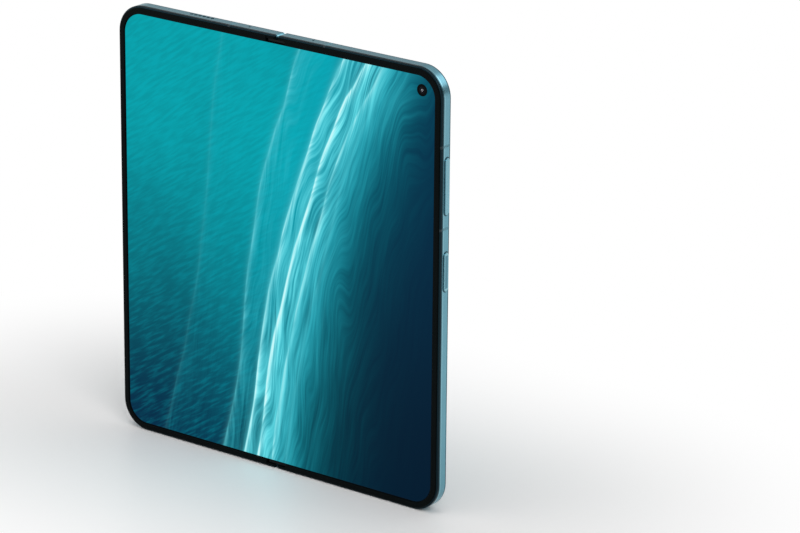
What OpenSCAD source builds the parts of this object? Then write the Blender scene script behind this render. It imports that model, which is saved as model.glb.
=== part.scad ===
// Foldable smartphone with an inner folding display and an outer cover display.
// It is drawn open flat and standing on its bottom edge: +Z is up along the height,
// the inner display faces -Y, and the fold line is at X = 0.
// The main half is on +X and the cover half on -X. All sizes are in millimetres.

/* [Body] */
// Height of the phone
body_h = 160; // [156:1:166]
// Width of one half, from the fold line to its outer edge
half_w = 71; // [69:1:74]
// Thickness of one half, bezel and back glass included
body_t = 6; // [6:0.1:6.6]
// Radius of the outer corners
corner_r = 10.5; // [9:0.5:12]
// Thickness of the frame's walls
wall = 1.4; // [1.3:0.1:1.6]
// Half of the slit between the two frames on the back
x_gap = 0.15; // [0.1:0.05:0.25]

/* [Display] */
// Width of the visible bezel and the strip of metal outside it
bezel_in = 2.6; // [2.4:0.1:3]
// Strip of metal between the bezel and the outer edge
bezel_out = 0.6; // [0.5:0.1:0.8]
// How far the bezel stands above the inner display
bezel_lift = 0.4; // [0.3:0.05:0.5]
// Thickness of the inner display
disp_t = 0.6; // [0.5:0.05:0.65]
// Half width of the part of the display that bends
fold_zone = 8; // [7.8:0.1:8.4]
// Where each bezel half begins, from the fold line
bezel_x0 = 4.2; // [4.2:0.1:4.6]
// Thickness of the glass on the back and on the cover
glass_t = 0.5; // [0.45:0.05:0.55]
// Metal left around the back glass and the cover glass
glass_in = 1; // [0.9:0.1:1.1]
// Corner radius of the cover glass on the fold side
cover_glass_r = 9.5; // [8:0.5:10]
// Corner radius of the back glass on the fold side
back_glass_r = 2.5; // [2:0.5:4]
// Radius of the inner camera's hole
inner_cam_r = 2.1; // [1.9:0.1:2.3]
// Inner camera's distance from the right edge
inner_cam_x = 8.3; // [8:0.1:8.6]
// Inner camera's distance from the top edge
inner_cam_z = 7.9; // [7.7:0.1:8.2]
// Radius of the cover camera's hole
cover_cam_r = 2.1; // [1.9:0.1:2.3]
// Cover camera's distance from the top edge
cover_cam_z = 7.2; // [7:0.1:7.6]

/* [Fold] */
// Distance from the fold axis to the inner face of the frame's hinge shelf
hinge_r = 3.05; // [3.05:0.01:3.1]
// Gap between the two bezels when the phone is shut
shut_gap = 0.9; // [0.9:0.05:1.1]
// Running gap between the spine and the shelves that roll over it
spine_gap = 0.15; // [0.12:0.01:0.2]
// Wall thickness of the spine
spine_t = 0.5; // [0.4:0.05:0.55]
// Gap between the spine's ends and the frame's end walls
spine_end = 0.2; // [0.15:0.05:0.3]
// Inner radius of the curved tongues
tongue_r0 = 1.4; // [1.35:0.05:1.45]
// Outer radius of the curved tongues
tongue_r1 = 2; // [1.95:0.05:2.05]
// Running gap on each face of a tongue
tongue_gap = 0.05; // [0.03:0.01:0.07]
// Module of the small gears, pitch diameter over teeth
gear_m = 0.19; // [0.185:0.005:0.19]
// Teeth on each small gear
gear_n = 10; // [10:2:10]
// Pressure angle of the gear teeth
gear_pa = 25; // [24:1:26]
// Play between meshing teeth at the pitch circle
gear_play = 0.04; // [0.03:0.01:0.06]
// Thickness of the gears and arms along the axis
gear_w = 3; // [2.5:0.1:3]
// Radius of the gear pins
pin_r = 0.35; // [0.3:0.01:0.36]
// Running gap between gear and pin
pin_gap = 0.03; // [0.02:0.01:0.05]
// Reach of the hinge arms from the fold line
arm_x = 13; // [12:0.5:13.5]

/* [Keys and ports] */
// Distance of the volume rocker's centre from the top edge
rocker_top = 41; // [40:0.5:42]
// Length of the volume rocker
rocker_l = 20.3; // [18:0.1:22]
// Distance of the power key's centre from the top edge
power_top = 71.5; // [69:0.5:74]
// Length of the power key
power_l = 14; // [12:0.5:16]
// Width of the keys across the edge
key_w = 2.5; // [2.2:0.1:2.6]
// How far the keys stand out of the edge
key_out = 0.4; // [0.3:0.05:0.5]
// Gap around each key in its slot
key_gap = 0.06; // [0.04:0.01:0.1]
// Opening of the charging port, long way
port_w = 8.34; // [8.34:0.01:8.4]
// Opening of the charging port, short way
port_h = 2.56; // [2.5:0.01:2.6]
// Wall of the charging port's shell
port_t = 0.3; // [0.25:0.05:0.3]
// Length of the card tray's face
tray_l = 15; // [14:0.5:16]
// Width of the card tray's face
tray_w = 2.1; // [1.8:0.1:2.2]

/* [Rear cameras] */
// Width of the camera island
island_w = 18; // [17:0.5:20]
// Height of the camera island
island_h = 50; // [49:0.5:54]
// How far the island stands off the back glass
island_t = 1.3; // [1:0.1:1.6]
// Outer radius of a lens ring
ring_r = 6.2; // [5.8:0.1:6.5]
// Radius of a lens glass
lens_r = 5; // [4.6:0.1:5.2]

/* [Hidden] */
$fn = 48;
eps = 0.01;
far = 400;

// Levels through the thickness, from the front to the back
yf = -body_t / 2;
yb = body_t / 2;
disp_f = yf + bezel_lift;
deck_f = disp_f + disp_t;
deck_t = 0.7;
deck_b = deck_f + deck_t;
glass_y = yb - glass_t;
ledge_t = 0.25;
shelf_y = glass_y - ledge_t;
rim_f = yf + 0.45;
rim_b = yb - 0.1;
edge_rf = 0.45;
edge_rb = 0.7;
groove_w = 0.22;
groove_d = 0.16;
groove_f = rim_f + 0.7;
groove_b = rim_b - 0.85;

// Fold axes: one for each half, at x = axis_x and x = -axis_x
axis_y = shelf_y - hinge_r;
axis_x = shut_gap / 2 + (axis_y - yf);
spine_r = hinge_r - spine_gap;
spine_in = spine_r - spine_t;
spine_z0 = wall + spine_end;
spine_z1 = body_h - wall - spine_end;
end_relief_r = axis_x - 2 * 0.05;

// Hinge beam of each frame
beam_x = axis_x + hinge_r + 0.05;
beam_t = 1.45;
riser_t = 0.7;
pocket_y = axis_y + 0.4;
pocket_t = 0.6;
rim_strip = 11;

// Gear train: two arm gears outside, two idlers between them
gear_p = gear_m * gear_n / 2;
gear_y = axis_y + 1.15;
idler_x = gear_p;
arm_gx = 3 * gear_p;
gear_add = 0.8 * gear_m;
gear_clear = 0.04;
arm_t = 1;
plate_t = 1.2;
gear_side = 0.1;
washer_l = 4;
guide_t = 1;
guide_l = 4;
mod_gear = plate_t + gear_side;
mod_plate2 = mod_gear + gear_w + gear_side;
mod_wash = mod_plate2 + plate_t;
mod_plate3 = mod_wash + washer_l;
mod_guide = mod_plate3 + guide_t;
mod_l = mod_guide + guide_l + guide_t;
module_z = [14, body_h / 2 - 8, body_h - 14 - mod_l];
bracket_y = axis_y + 0.05;
tongue_a0 = -18;
tongue_a1 = 110;
fold_round = 0.6;
fold_corner = wall - 0.2;
spine_line_w = 0.3;
spine_line_d = 0.15;
lip_drop = 0.25;
lip_gap = 0.05;
flex_y = deck_b + 0.03;
flex_t = 0.15;
flex_z = body_h * 0.7;
flex_w = 12;
flex_x = 20;

// Aerial splits in the frame's edge
split_w = 0.9;
split_x = 20.9;
split_z = [body_h - 26.7, body_h - 56];

// Keys, from the top edge down
rocker_z = body_h - rocker_top;
power_z = body_h - power_top;
key_y = 0.7;
key_stop = 0.3;
key_seat = 0.02;
key_flange = 0.4;
switch_t = 0.5;
switch_in = 1.7;

// Battery cells: they end at these distances from the fold line and the edges
cell_x0 = 16;
cell_x1 = half_w - 5.2;
cell_y0 = deck_b;
main_cell_z = [33, body_h - 67];
cover_cell_z = [31, flex_z - flex_w / 2 - 3];
coil_t = 0.3;
coil_turns = 7;
coil_r0 = 10;
coil_r1 = min(cell_x1 - cell_x0, main_cell_z[1] - main_cell_z[0]) / 2 - 3.5;
coil_pitch = (coil_r1 - coil_r0) / (coil_turns - 0.3);

// Rear cameras: three in a row down the island
island_x = half_w - 12.5;
island_top = 9.5;
island_z = body_h - island_top - island_h / 2;
lens_pitch = island_h * 0.31;
lens_z = [for (i = [-1:1]) island_z + i * lens_pitch];
module_w = 12.4;
flash_x = island_x - island_w * 0.35;
flash_z = island_z + lens_pitch / 2;
flash_r = 1.5;

// Boards, with their cans, screws and posts
board_x0 = 14.5;
board_x1 = island_x - 9.5;
board_y = deck_b + 1.5;
board_t = 0.7;
main_board_z = [body_h - 64, body_h - 4];
cover_board_x1 = half_w - 4;
cover_board_z = [body_h - 50, body_h - 14];
plug_w = 4.5;
plug_l = 10;
screw_r = 0.5;
screw_head = 1;
screw_in = 2.7;
boss_r = 1.3;
main_screw = [for (x = [board_x0 + screw_in, board_x1 - screw_in])
  for (z = [main_board_z[0] + screw_in, main_board_z[1] - screw_in]) [x, z]];
cover_screw = [[board_x0 + 9.5, cover_board_z[0] + screw_in],
  [cover_board_x1 - 5, cover_board_z[0] + screw_in],
  [board_x0 + 4, body_h - 8], [cover_board_x1 - 7, body_h - 10]];

// Cameras, speakers, port and card tray
icx = half_w - inner_cam_x;
icz = body_h - inner_cam_z;
cam_w = 5.8;
ccx = half_w / 2 + 0.1;
ccz = body_h - cover_cam_z;
port_x = half_w / 2;
port_y = deck_b + 0.2 + port_h / 2 + port_t;
port_d = 7;
ear_n = 6;
ear_pitch = 1.87;
ear_y = 0.9;
ear_w = 14;
slot_l = 1.4;
slot_w = 1.3;
mic_x = 14;
mic_r = 0.45;
speaker_x = half_w - 16;
speaker_w = 14.6;
speaker_h = 13.5;
grille_n = 6;
motor_x = 18;
motor_z = 14;
magnet_z = [body_h / 4, body_h / 4 + 22];
magnet_w = 1.6;
magnet_l = 9;
tray_z = 20;
tray_y = 0.4;
tray_t = 0.8;
tray_x1 = half_w - 20;
tray_slack = 0.05;

// Plate with the outline of its children between two levels through the thickness
module plate_y(y0, y1) {
  translate([0, y1, 0])
    rotate([90, 0, 0])
      linear_extrude(y1 - y0)
        children();
}

// Outline of one half, drawn in from its edge, beginning at x0
module outline(inset, x0) {
  r = corner_r - inset;
  translate([x0, inset])
    square([half_w - inset - r - x0, body_h - 2 * inset]);
  translate([x0, inset + r])
    square([half_w - inset - x0, body_h - 2 * inset - 2 * r]);
  for (z = [inset + r, body_h - inset - r])
    translate([half_w - inset - r, z])
      circle(r);
}

// Rectangle with round corners, centred
module round_rect(w, h, r) {
  square([w - 2 * r, h], center = true);
  square([w, h - 2 * r], center = true);
  for (x = [-1, 1])
    for (z = [-1, 1])
      translate([x * (w / 2 - r), z * (h / 2 - r)])
        circle(r);
}

// Slot with round ends, centred
module slot(l, w) {
  square([l - w, w], center = true);
  for (s = [-1, 1])
    translate([s * (l - w) / 2, 0])
      circle(w / 2);
}

// Sweeps a profile of (inset, level) round the three outer edges of one half
module edge_sweep(x0) {
  translate([half_w, 0, corner_r])
    linear_extrude(body_h - 2 * corner_r)
      mirror([1, 0, 0])
        children();
  for (top = [0, 1])
    translate([0, 0, top * body_h])
      mirror([0, 0, top]) {
        translate([half_w - corner_r, 0, 0])
          rotate([0, -90, 0])
            linear_extrude(half_w - corner_r - x0)
              children();
        translate([half_w - corner_r, 0, corner_r])
          rotate([-90, 0, 0])
            rotate_extrude(angle = 90)
              translate([corner_r, 0])
                mirror([1, 0, 0])
                  children();
      }
}

// Sweeps a profile of (inset, level) round a rectangle with round corners
module rect_sweep(w, h, r) {
  for (x = [0, 1])
    mirror([x, 0, 0])
      for (z = [0, 1])
        mirror([0, 0, z]) {
          translate([w / 2 - r, 0, -(h / 2 - r)])
            rotate([-90, 0, 0])
              rotate_extrude(angle = 90)
                translate([r, 0])
                  mirror([1, 0, 0])
                    children();
          translate([w / 2, 0, -(h / 2 - r)])
            linear_extrude(h / 2 - r)
              mirror([1, 0, 0])
                children();
          translate([w / 2 - r, 0, -h / 2])
            rotate([0, -90, 0])
              linear_extrude(w / 2 - r)
                children();
        }
}

// Section of the frame's edge: round front and back edges, two fine grooves, seats for
// the bezel in front and the glass behind
module band_profile() {
  difference() {
    union() {
      translate([0, rim_f + edge_rf])
        square([wall, rim_b - edge_rb - rim_f - edge_rf]);
      translate([edge_rf, rim_f])
        square([wall - edge_rf, edge_rf + eps]);
      translate([edge_rf, rim_f + edge_rf])
        circle(edge_rf);
      translate([edge_rb, rim_b - edge_rb - eps])
        square([wall - edge_rb, edge_rb + eps]);
      translate([edge_rb, rim_b - edge_rb])
        circle(edge_rb);
      translate([wall - eps, shelf_y])
        square([glass_in + eps, ledge_t]);
    }
    translate([bezel_out, yf - 1])
      square([wall, deck_f - yf + 1]);
    translate([glass_in, glass_y])
      square([wall + glass_in, 2]);
    translate([-eps, groove_f])
      square([groove_d, groove_w]);
    translate([-eps, groove_b])
      square([groove_d, groove_w]);
  }
}

// Outline of the glass on the back of one half
module glass_outline(r_in, gap) {
  h = body_h - 2 * glass_in;
  x0 = x_gap + glass_in - gap;
  r = corner_r - glass_in;
  intersection() {
    outline(glass_in - gap, x0);
    union() {
      translate([x0 + r_in, 0])
        square([far, far]);
      translate([0, glass_in + r_in])
        square([far, h - 2 * r_in]);
      for (z = [glass_in - gap + r_in, body_h - glass_in + gap - r_in])
        translate([x0 + r_in, z])
          circle(r_in);
    }
  }
}

// Section of one frame's hinge beam: shelf over the spine, wall, pocket floor and riser
module beam_section() {
  translate([x_gap, shelf_y])
    square([beam_x + beam_t - x_gap, ledge_t]);
  translate([beam_x, pocket_y])
    square([beam_t, glass_y - pocket_y]);
  translate([beam_x, pocket_y])
    square([fold_zone + riser_t - beam_x, pocket_t]);
  translate([fold_zone, deck_f])
    square([riser_t, pocket_y + pocket_t - deck_f]);
}

// Windows that the arms and the flat cable pass through
module beam_windows() {
  for (z = module_z)
    translate([beam_x - 1, deck_b + 0.05, z + mod_gear - 0.15])
      cube([fold_zone + riser_t - beam_x + 2, gear_y + arm_t / 2 + 0.15 - deck_b - 0.05, gear_w + 0.3]);
  translate([fold_zone - 1, flex_y - 0.1, flex_z - flex_w / 2 - 0.5])
    cube([riser_t + 2, flex_t + 0.3, flex_w + 1]);
}

// Frame of one half with all that both halves share
module half_frame(r_in) {
  difference() {
    union() {
      edge_sweep(x_gap)
        band_profile();
      plate_y(deck_f, deck_b)
        outline(wall - 0.1, fold_zone + riser_t / 2);
      translate([0, 0, wall - 0.2])
        linear_extrude(body_h - 2 * wall + 0.4)
          beam_section();
      plate_y(shelf_y, rim_b)
        translate([x_gap, glass_in - 0.1])
          square([rim_strip, body_h - 2 * glass_in + 0.2]);
    }
    plate_y(glass_y, yb + 1)
      glass_outline(r_in, 0);
    end_relief();
    fold_corners();
    translate([x_gap, rim_b - fold_round, -1])
      linear_extrude(body_h + 2)
        difference() {
          translate([-1, 0])
            square([1 + fold_round, 2]);
          translate([fold_round, 0])
            circle(fold_round);
        }
    beam_windows();
    split_boxes();
  }
}

// What is cut from the ends near the fold line, so that each half can turn past it
module end_relief() {
  difference() {
    translate([-1, yf - 1, -1])
      cube([axis_x + 1, axis_y - yf + 1, body_h + 2]);
    translate([axis_x, axis_y, -2])
      cylinder(r = end_relief_r, h = body_h + 4);
  }
}

// What is cut from the two corners at the fold line, so that they are round from the front
module fold_corners() {
  for (end = [0, 1])
    translate([x_gap, 0, end * body_h])
      mirror([0, 0, end])
        rotate([90, 0, 0])
          linear_extrude(far, center = true)
            difference() {
              translate([-1, -1])
                square(1 + fold_corner);
              translate([fold_corner, fold_corner])
                circle(fold_corner);
            }
}

// Blocks at the aerial splits, one wall deep
module split_boxes() {
  for (z = [-1, body_h - wall + 0.1])
    translate([split_x - split_w / 2, -far / 2, z])
      cube([split_w, far, wall + 0.9]);
  for (z = split_z)
    translate([half_w - wall + 0.1, -far / 2, z - split_w / 2])
      cube([wall + 1, far, split_w]);
}

// Strips that fill the aerial splits, with the frame's own edge section
module antenna_bands() {
  intersection() {
    edge_sweep(x_gap)
      band_profile();
    split_boxes();
  }
}

// Bezel of one half, with a lower lip at each end that closes the frame's seat up to
// the fold line
module half_bezel() {
  r = 0.3;
  w = bezel_in - bezel_out;
  lip = wall - bezel_out - lip_gap;
  difference() {
    for (z = [bezel_out, body_h - bezel_out - lip])
      translate([x_gap, yf + lip_drop, z])
        cube([bezel_x0 - x_gap + eps, deck_f - yf - lip_drop, lip]);
    end_relief();
    fold_corners();
  }
  edge_sweep(bezel_x0)
    translate([bezel_out, 0]) {
      translate([0, yf + r])
        square([w, deck_f - yf - r]);
      translate([r, yf])
        square([w - 2 * r, r + eps]);
      for (x = [r, w - r])
        translate([x, yf + r])
          circle(r);
    }
}

// Slot through the right edge for one key
module key_slot(z, l) {
  translate([half_w - wall - 1, key_y, z])
    rotate([0, 90, 0])
      linear_extrude(wall + 2)
        slot(l + 2 * key_gap, key_w + 2 * key_gap);
}

// One key: round-ended face, with a flange behind the wall
module key(z, l) {
  translate([half_w - wall, key_y, z])
    rotate([0, 90, 0])
      linear_extrude(wall + key_out - 0.15)
        slot(l, key_w);
  translate([half_w + key_out - 0.15, key_y, z])
    rotate([0, 90, 0])
      linear_extrude(0.15)
        slot(l - 0.3, key_w - 0.3);
  translate([half_w - wall - key_seat - key_flange, key_y, z])
    rotate([0, 90, 0])
      linear_extrude(key_seat + key_flange)
        slot(l + 2 * key_stop, key_w + 2 * key_stop);
}

// Row of round-ended slots through the top or bottom edge
module edge_slots(x, z, n, pitch, y) {
  for (i = [0:n - 1])
    translate([x + (i - (n - 1) / 2) * pitch, y, z])
      linear_extrude(wall + 2, center = true)
        slot(slot_l, slot_w);
}

// Posts on the deck for the board's screws
module bosses(list) {
  for (p = list)
    translate([p[0], deck_b - eps, p[1]])
      rotate([-90, 0, 0])
        cylinder(r = boss_r, h = board_y - deck_b + eps);
}

// Tapped holes in the posts
module boss_holes(list) {
  for (p = list)
    translate([p[0], deck_b + 0.2, p[1]])
      rotate([-90, 0, 0])
        cylinder(r = screw_r, h = 4);
}

// Screws with round heads and a slot
module screws(list) {
  for (p = list)
    difference() {
      union() {
        translate([p[0], deck_b + 0.2, p[1]])
          rotate([-90, 0, 0])
            cylinder(r = screw_r, h = board_y + board_t - deck_b - 0.2);
        translate([p[0], board_y + board_t, p[1]])
          rotate([-90, 0, 0])
            cylinder(r = screw_head, h = 0.5);
      }
      translate([p[0] - 0.6, board_y + board_t + 0.25, p[1] - 0.1])
        cube([1.2, 1, 0.2]);
      translate([p[0] - 0.1, board_y + board_t + 0.25, p[1] - 0.6])
        cube([0.2, 1, 1.2]);
    }
}

// Section of the spine, drawn in from its outer face
module spine_section(r, y0) {
  intersection() {
    union() {
      for (s = [-1, 1])
        translate([s * axis_x, axis_y])
          circle(r);
      translate([-axis_x, axis_y - 1])
        square([2 * axis_x, r + 1]);
    }
    translate([-far / 2, y0])
      square([far, far]);
  }
}

// Ring segment about one fold axis
module arc_piece(r0, r1, a0, a1, z, l) {
  translate([axis_x, axis_y, z])
    rotate([0, 0, a0])
      rotate_extrude(angle = a1 - a0)
        translate([r0, 0])
          square([r1 - r0, l]);
}

// Curved tongues that a half turns on, with their feet under the hinge beam
module tongues() {
  foot_y0 = axis_y - 0.45;
  for (z = module_z) {
    z1 = z + mod_guide + 0.1;
    l = guide_l - 0.2;
    arc_piece(tongue_r0, tongue_r1, tongue_a0, tongue_a1, z1, l);
    translate([axis_x + tongue_r0 + 0.1, foot_y0, z1])
      cube([beam_x + 1 - axis_x - tongue_r0, 0.4, l]);
    translate([beam_x + 0.1, foot_y0, z1])
      cube([1.8, pocket_y - foot_y0, l]);
  }
}

// Point on an involute of base radius rb where its radius is r, turned by a degrees
function inv_deg(rb, r) = let (t = acos(rb / r)) tan(t) * 180 / PI - t;
function polar(r, a) = [r * cos(a), r * sin(a)];

// Small spur gear: involute flanks on a root circle
module gear(turn) {
  rb = gear_p * cos(gear_pa);
  ra = gear_p + gear_add;
  rr = gear_p - gear_add - gear_clear;
  half = 90 / gear_n - gear_play / gear_p * 90 / PI;
  at_p = inv_deg(rb, gear_p);
  steps = 4;
  flank = [for (i = [0:steps]) rb + (ra - rb) * i / steps];
  difference() {
    linear_extrude(gear_w, center = true) {
      circle(rr);
      for (k = [0:gear_n - 1])
        rotate(turn + k * 360 / gear_n)
          polygon(concat(
            [polar(rr * 0.8, -half - at_p)],
            [for (r = flank) polar(r, -(half + at_p - inv_deg(rb, r)))],
            [for (i = [0:steps]) let (r = flank[steps - i]) polar(r, half + at_p - inv_deg(rb, r))],
            [polar(rr * 0.8, half + at_p)]));
    }
    cylinder(r = pin_r + pin_gap, h = gear_w + 2, center = true);
  }
}

// Gear on its pin at x, in every hinge module
module gears_at(x, turn) {
  for (z = module_z)
    translate([x, gear_y, z + mod_gear + gear_w / 2])
      gear(turn);
}

// Arm gear: a gear with the flat arm that reaches into its half
module arm_gears(turn) {
  gears_at(arm_gx, turn);
  for (z = module_z)
    translate([arm_gx + pin_r + 0.25, gear_y - arm_t / 2, z + mod_gear])
      cube([arm_x - arm_gx - pin_r - 0.25, arm_t, gear_w]);
}

// Plain wound coil: flat rings round one centre
module ring_y(r0, r1, y0, y1) {
  plate_y(y0, y1)
    difference() {
      circle(r1);
      circle(r0);
    }
}

module main_frame() {
  color([0.41, 0.64, 0.70])
    difference() {
      union() {
        half_frame(back_glass_r);
        bosses(main_screw);
      }
      boss_holes(main_screw);
      translate([icx, deck_f - 1, icz])
        rotate([-90, 0, 0])
          cylinder(r = inner_cam_r, h = deck_t + 1.5);
      key_slot(rocker_z, rocker_l);
      key_slot(power_z, power_l);
      translate([port_x, port_y, -1])
        linear_extrude(wall + 2)
          slot(port_w + 2 * port_t, port_h + 2 * port_t);
      edge_slots(speaker_x, 0, grille_n, ear_pitch, port_y);
      for (z = [0, body_h])
        translate([mic_x, port_y, z])
          cylinder(r = mic_r, h = 2 * wall + 2, center = true);
    }
}

module main_bezel() {
  color([0.06, 0.08, 0.08])
    half_bezel();
}

module inner_display_main() {
  color([0.01, 0.25, 0.33])
    difference() {
      plate_y(disp_f, deck_f)
        outline(bezel_in, fold_zone);
      translate([icx, disp_f - 1, icz])
        rotate([-90, 0, 0])
          cylinder(r = inner_cam_r, h = disp_t + 2);
    }
}

module inner_camera() {
  color([0.05, 0.06, 0.07]) {
    translate([icx, disp_f + 0.08, icz])
      rotate([-90, 0, 0])
        cylinder(r = inner_cam_r - 0.05, h = deck_b - disp_f - 0.08);
    translate([icx - cam_w / 2, deck_b, icz - cam_w / 2])
      cube([cam_w, 1.9, cam_w]);
  }
}

module main_back_glass() {
  color([0.45, 0.66, 0.72])
    difference() {
      union() {
        plate_y(glass_y, yb - 0.12)
          glass_outline(back_glass_r, 0);
        plate_y(yb - 0.12 - eps, yb)
          glass_outline(back_glass_r, -0.12);
      }
      translate([island_x, 0, island_z])
        plate_y(glass_y - 1, yb + 1)
          round_rect(island_w, island_h, island_w / 2 - 2);
    }
}

module camera_deck() {
  r = island_w / 2 - 2;
  e = 0.6;
  top = yb + island_t;
  color([0.38, 0.60, 0.66])
    difference() {
      translate([island_x, 0, island_z]) {
        rect_sweep(island_w, island_h, r) {
          translate([0, glass_y])
            square([1.5, top - e - glass_y]);
          translate([e, top - e - eps])
            square([1.5 - e, e + eps]);
          translate([e, top - e])
            circle(e);
        }
        plate_y(top - 1.2, top)
          round_rect(island_w - 2.6, island_h - 2.6, r - 1.3);
      }
      for (z = lens_z)
        translate([island_x, yb - 2, z])
          rotate([-90, 0, 0])
            cylinder(r = lens_r, h = 8);
      translate([flash_x, yb - 2, flash_z])
        rotate([-90, 0, 0])
          cylinder(r = flash_r, h = 8);
    }
}

module lens_rings() {
  top = yb + island_t;
  color([0.30, 0.48, 0.54])
    for (z = lens_z)
      translate([island_x, top, z])
        rotate([-90, 0, 0])
          rotate_extrude() {
            translate([lens_r, 0])
              square([ring_r - lens_r, 0.35]);
            translate([lens_r + 0.25, 0])
              square([ring_r - lens_r - 0.5, 0.6]);
            for (x = [lens_r + 0.25, ring_r - 0.25])
              translate([x, 0.35])
                circle(0.25);
          }
}

module lens_glasses() {
  top = yb + island_t;
  color([0.03, 0.04, 0.05])
    for (z = lens_z)
      translate([island_x, top - 0.7, z])
        rotate([-90, 0, 0])
          cylinder(r = lens_r, h = 0.8);
}

module flash_window() {
  top = yb + island_t;
  color([0.95, 0.93, 0.84])
    translate([flash_x, top - 0.8, flash_z])
      rotate([-90, 0, 0])
        cylinder(r = flash_r, h = 0.85);
}

module rear_camera_modules() {
  top = yb + island_t;
  color([0.12, 0.12, 0.13])
    for (z = lens_z)
      translate([island_x, 0, z]) {
        plate_y(cell_y0, glass_y - 0.3)
          round_rect(module_w, module_w, 1);
        translate([0, glass_y - 0.3 - eps, 0])
          rotate([-90, 0, 0])
            cylinder(r = lens_r - 0.3, h = top - 0.7 - glass_y + 0.3 + eps);
      }
}

module main_antenna_bands() {
  color([0.16, 0.33, 0.38])
    antenna_bands();
}

module volume_rocker() {
  color([0.44, 0.62, 0.68])
    key(rocker_z, rocker_l);
}

module power_key() {
  color([0.30, 0.45, 0.50])
    key(power_z, power_l);
}

module key_switches() {
  x0 = half_w - wall - switch_in;
  dome = switch_in - switch_t - key_seat - key_flange - 0.33;
  color([0.75, 0.72, 0.62]) {
    translate([x0, deck_b, power_z - 8])
      cube([switch_t, key_y + 1.4 - deck_b, rocker_z - power_z + rocker_l / 2 + 9]);
    for (z = [power_z, rocker_z - rocker_l / 4, rocker_z + rocker_l / 4])
      translate([x0 + switch_t - eps, key_y, z])
        rotate([0, 90, 0])
          cylinder(r1 = 1.2, r2 = 0.5, h = dome + eps);
  }
}

// Battery pouch between two heights, with its folded top strip
module cell(z, y1) {
  w = cell_x1 - cell_x0;
  translate([cell_x0 + w / 2, 0, (z[0] + z[1]) / 2])
    plate_y(cell_y0, y1)
      round_rect(w, z[1] - z[0], 2);
}

module main_battery() {
  color([0.20, 0.20, 0.22])
    cell(main_cell_z, shelf_y - coil_t - 0.1);
}

// Holes for the screws through a board
module board_holes(list) {
  for (p = list)
    translate([p[0], 0, p[1]])
      rotate([-90, 0, 0])
        cylinder(r = screw_r + 0.1, h = 20, center = true);
}

// Plug of the flat cable, on the front of a board
module board_plug() {
  translate([flex_x - plug_w - 0.5, flex_y + flex_t, flex_z - plug_l / 2])
    cube([plug_w, board_y - flex_y - flex_t + eps, plug_l]);
}

module mainboard() {
  color([0.05, 0.22, 0.16])
    difference() {
      union() {
        translate([board_x0, board_y, main_board_z[0]])
          cube([board_x1 - board_x0, board_t, main_board_z[1] - main_board_z[0]]);
        board_plug();
      }
      board_holes(main_screw);
    }
}

// One can between two corners
module can(x0, x1, z0, z1) {
  translate([(x0 + x1) / 2, 0, (z0 + z1) / 2])
    plate_y(board_y + board_t, shelf_y - 0.1)
      round_rect(x1 - x0, z1 - z0, 0.8);
}

module shield_cans() {
  color([0.72, 0.73, 0.74]) {
    can(board_x0 + 3.5, board_x1 - 5, body_h - 36, body_h - 12);
    can(board_x0 + 4.5, board_x1 - 10, body_h - 56, body_h - 40);
  }
}

module main_screws() {
  color([0.55, 0.56, 0.58])
    screws(main_screw);
}

module charging_coil() {
  color([0.72, 0.42, 0.25])
    translate([(cell_x0 + cell_x1) / 2, 0, (main_cell_z[0] + main_cell_z[1]) / 2])
      for (i = [0:coil_turns - 1])
        ring_y(coil_r0 + coil_pitch * i, coil_r0 + coil_pitch * (i + 0.7),
          shelf_y - coil_t - 0.1, shelf_y - 0.1);
}

module usb_c_port() {
  color([0.62, 0.64, 0.66]) {
    difference() {
      translate([port_x, port_y, 0])
        linear_extrude(port_d)
          slot(port_w + 2 * port_t, port_h + 2 * port_t);
      translate([port_x, port_y, -1])
        linear_extrude(port_d)
          slot(port_w, port_h);
    }
    translate([port_x - 3.35, port_y - 0.35, 0.7])
      cube([6.7, 0.7, port_d - 0.8]);
  }
}

module loudspeaker() {
  color([0.10, 0.10, 0.11])
    difference() {
      translate([speaker_x, 0, wall + 0.1 + speaker_h / 2])
        plate_y(cell_y0, shelf_y - 0.2)
          round_rect(speaker_w, speaker_h, 2);
      translate([speaker_x, port_y, wall])
        cube([grille_n * ear_pitch, 0.9, 3], center = true);
    }
}

module vibration_motor() {
  color([0.60, 0.61, 0.62])
    translate([motor_x, 0, motor_z])
      plate_y(cell_y0, shelf_y - 0.4)
        round_rect(9, 18, 1);
}

module magnets() {
  color([0.50, 0.50, 0.52])
    for (z = magnet_z)
      translate([half_w - wall - 3.5, cell_y0, z])
        cube([magnet_w, 1.9, magnet_l]);
}

module main_magnets() {
  magnets();
}

module main_tongues() {
  color([0.66, 0.67, 0.69])
    tongues();
}

module cover_frame() {
  color([0.41, 0.64, 0.70])
    mirror([1, 0, 0])
      difference() {
        union() {
          half_frame(cover_glass_r);
          bosses(cover_screw);
        }
        boss_holes(cover_screw);
        edge_slots(ccx, body_h, ear_n, ear_pitch, ear_y);
        for (z = [0, body_h])
          translate([mic_x, port_y, z])
            cylinder(r = mic_r, h = 2 * wall + 2, center = true);
        translate([half_w - wall - 1, tray_y, tray_z])
          rotate([0, 90, 0])
            linear_extrude(wall + 2)
              slot(tray_l + 2 * tray_slack, tray_w + 2 * tray_slack);
      }
}

module cover_bezel() {
  color([0.06, 0.08, 0.08])
    mirror([1, 0, 0])
      half_bezel();
}

module inner_display_cover() {
  color([0.01, 0.38, 0.42])
    mirror([1, 0, 0])
      plate_y(disp_f, deck_f)
        outline(bezel_in, fold_zone);
}

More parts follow.
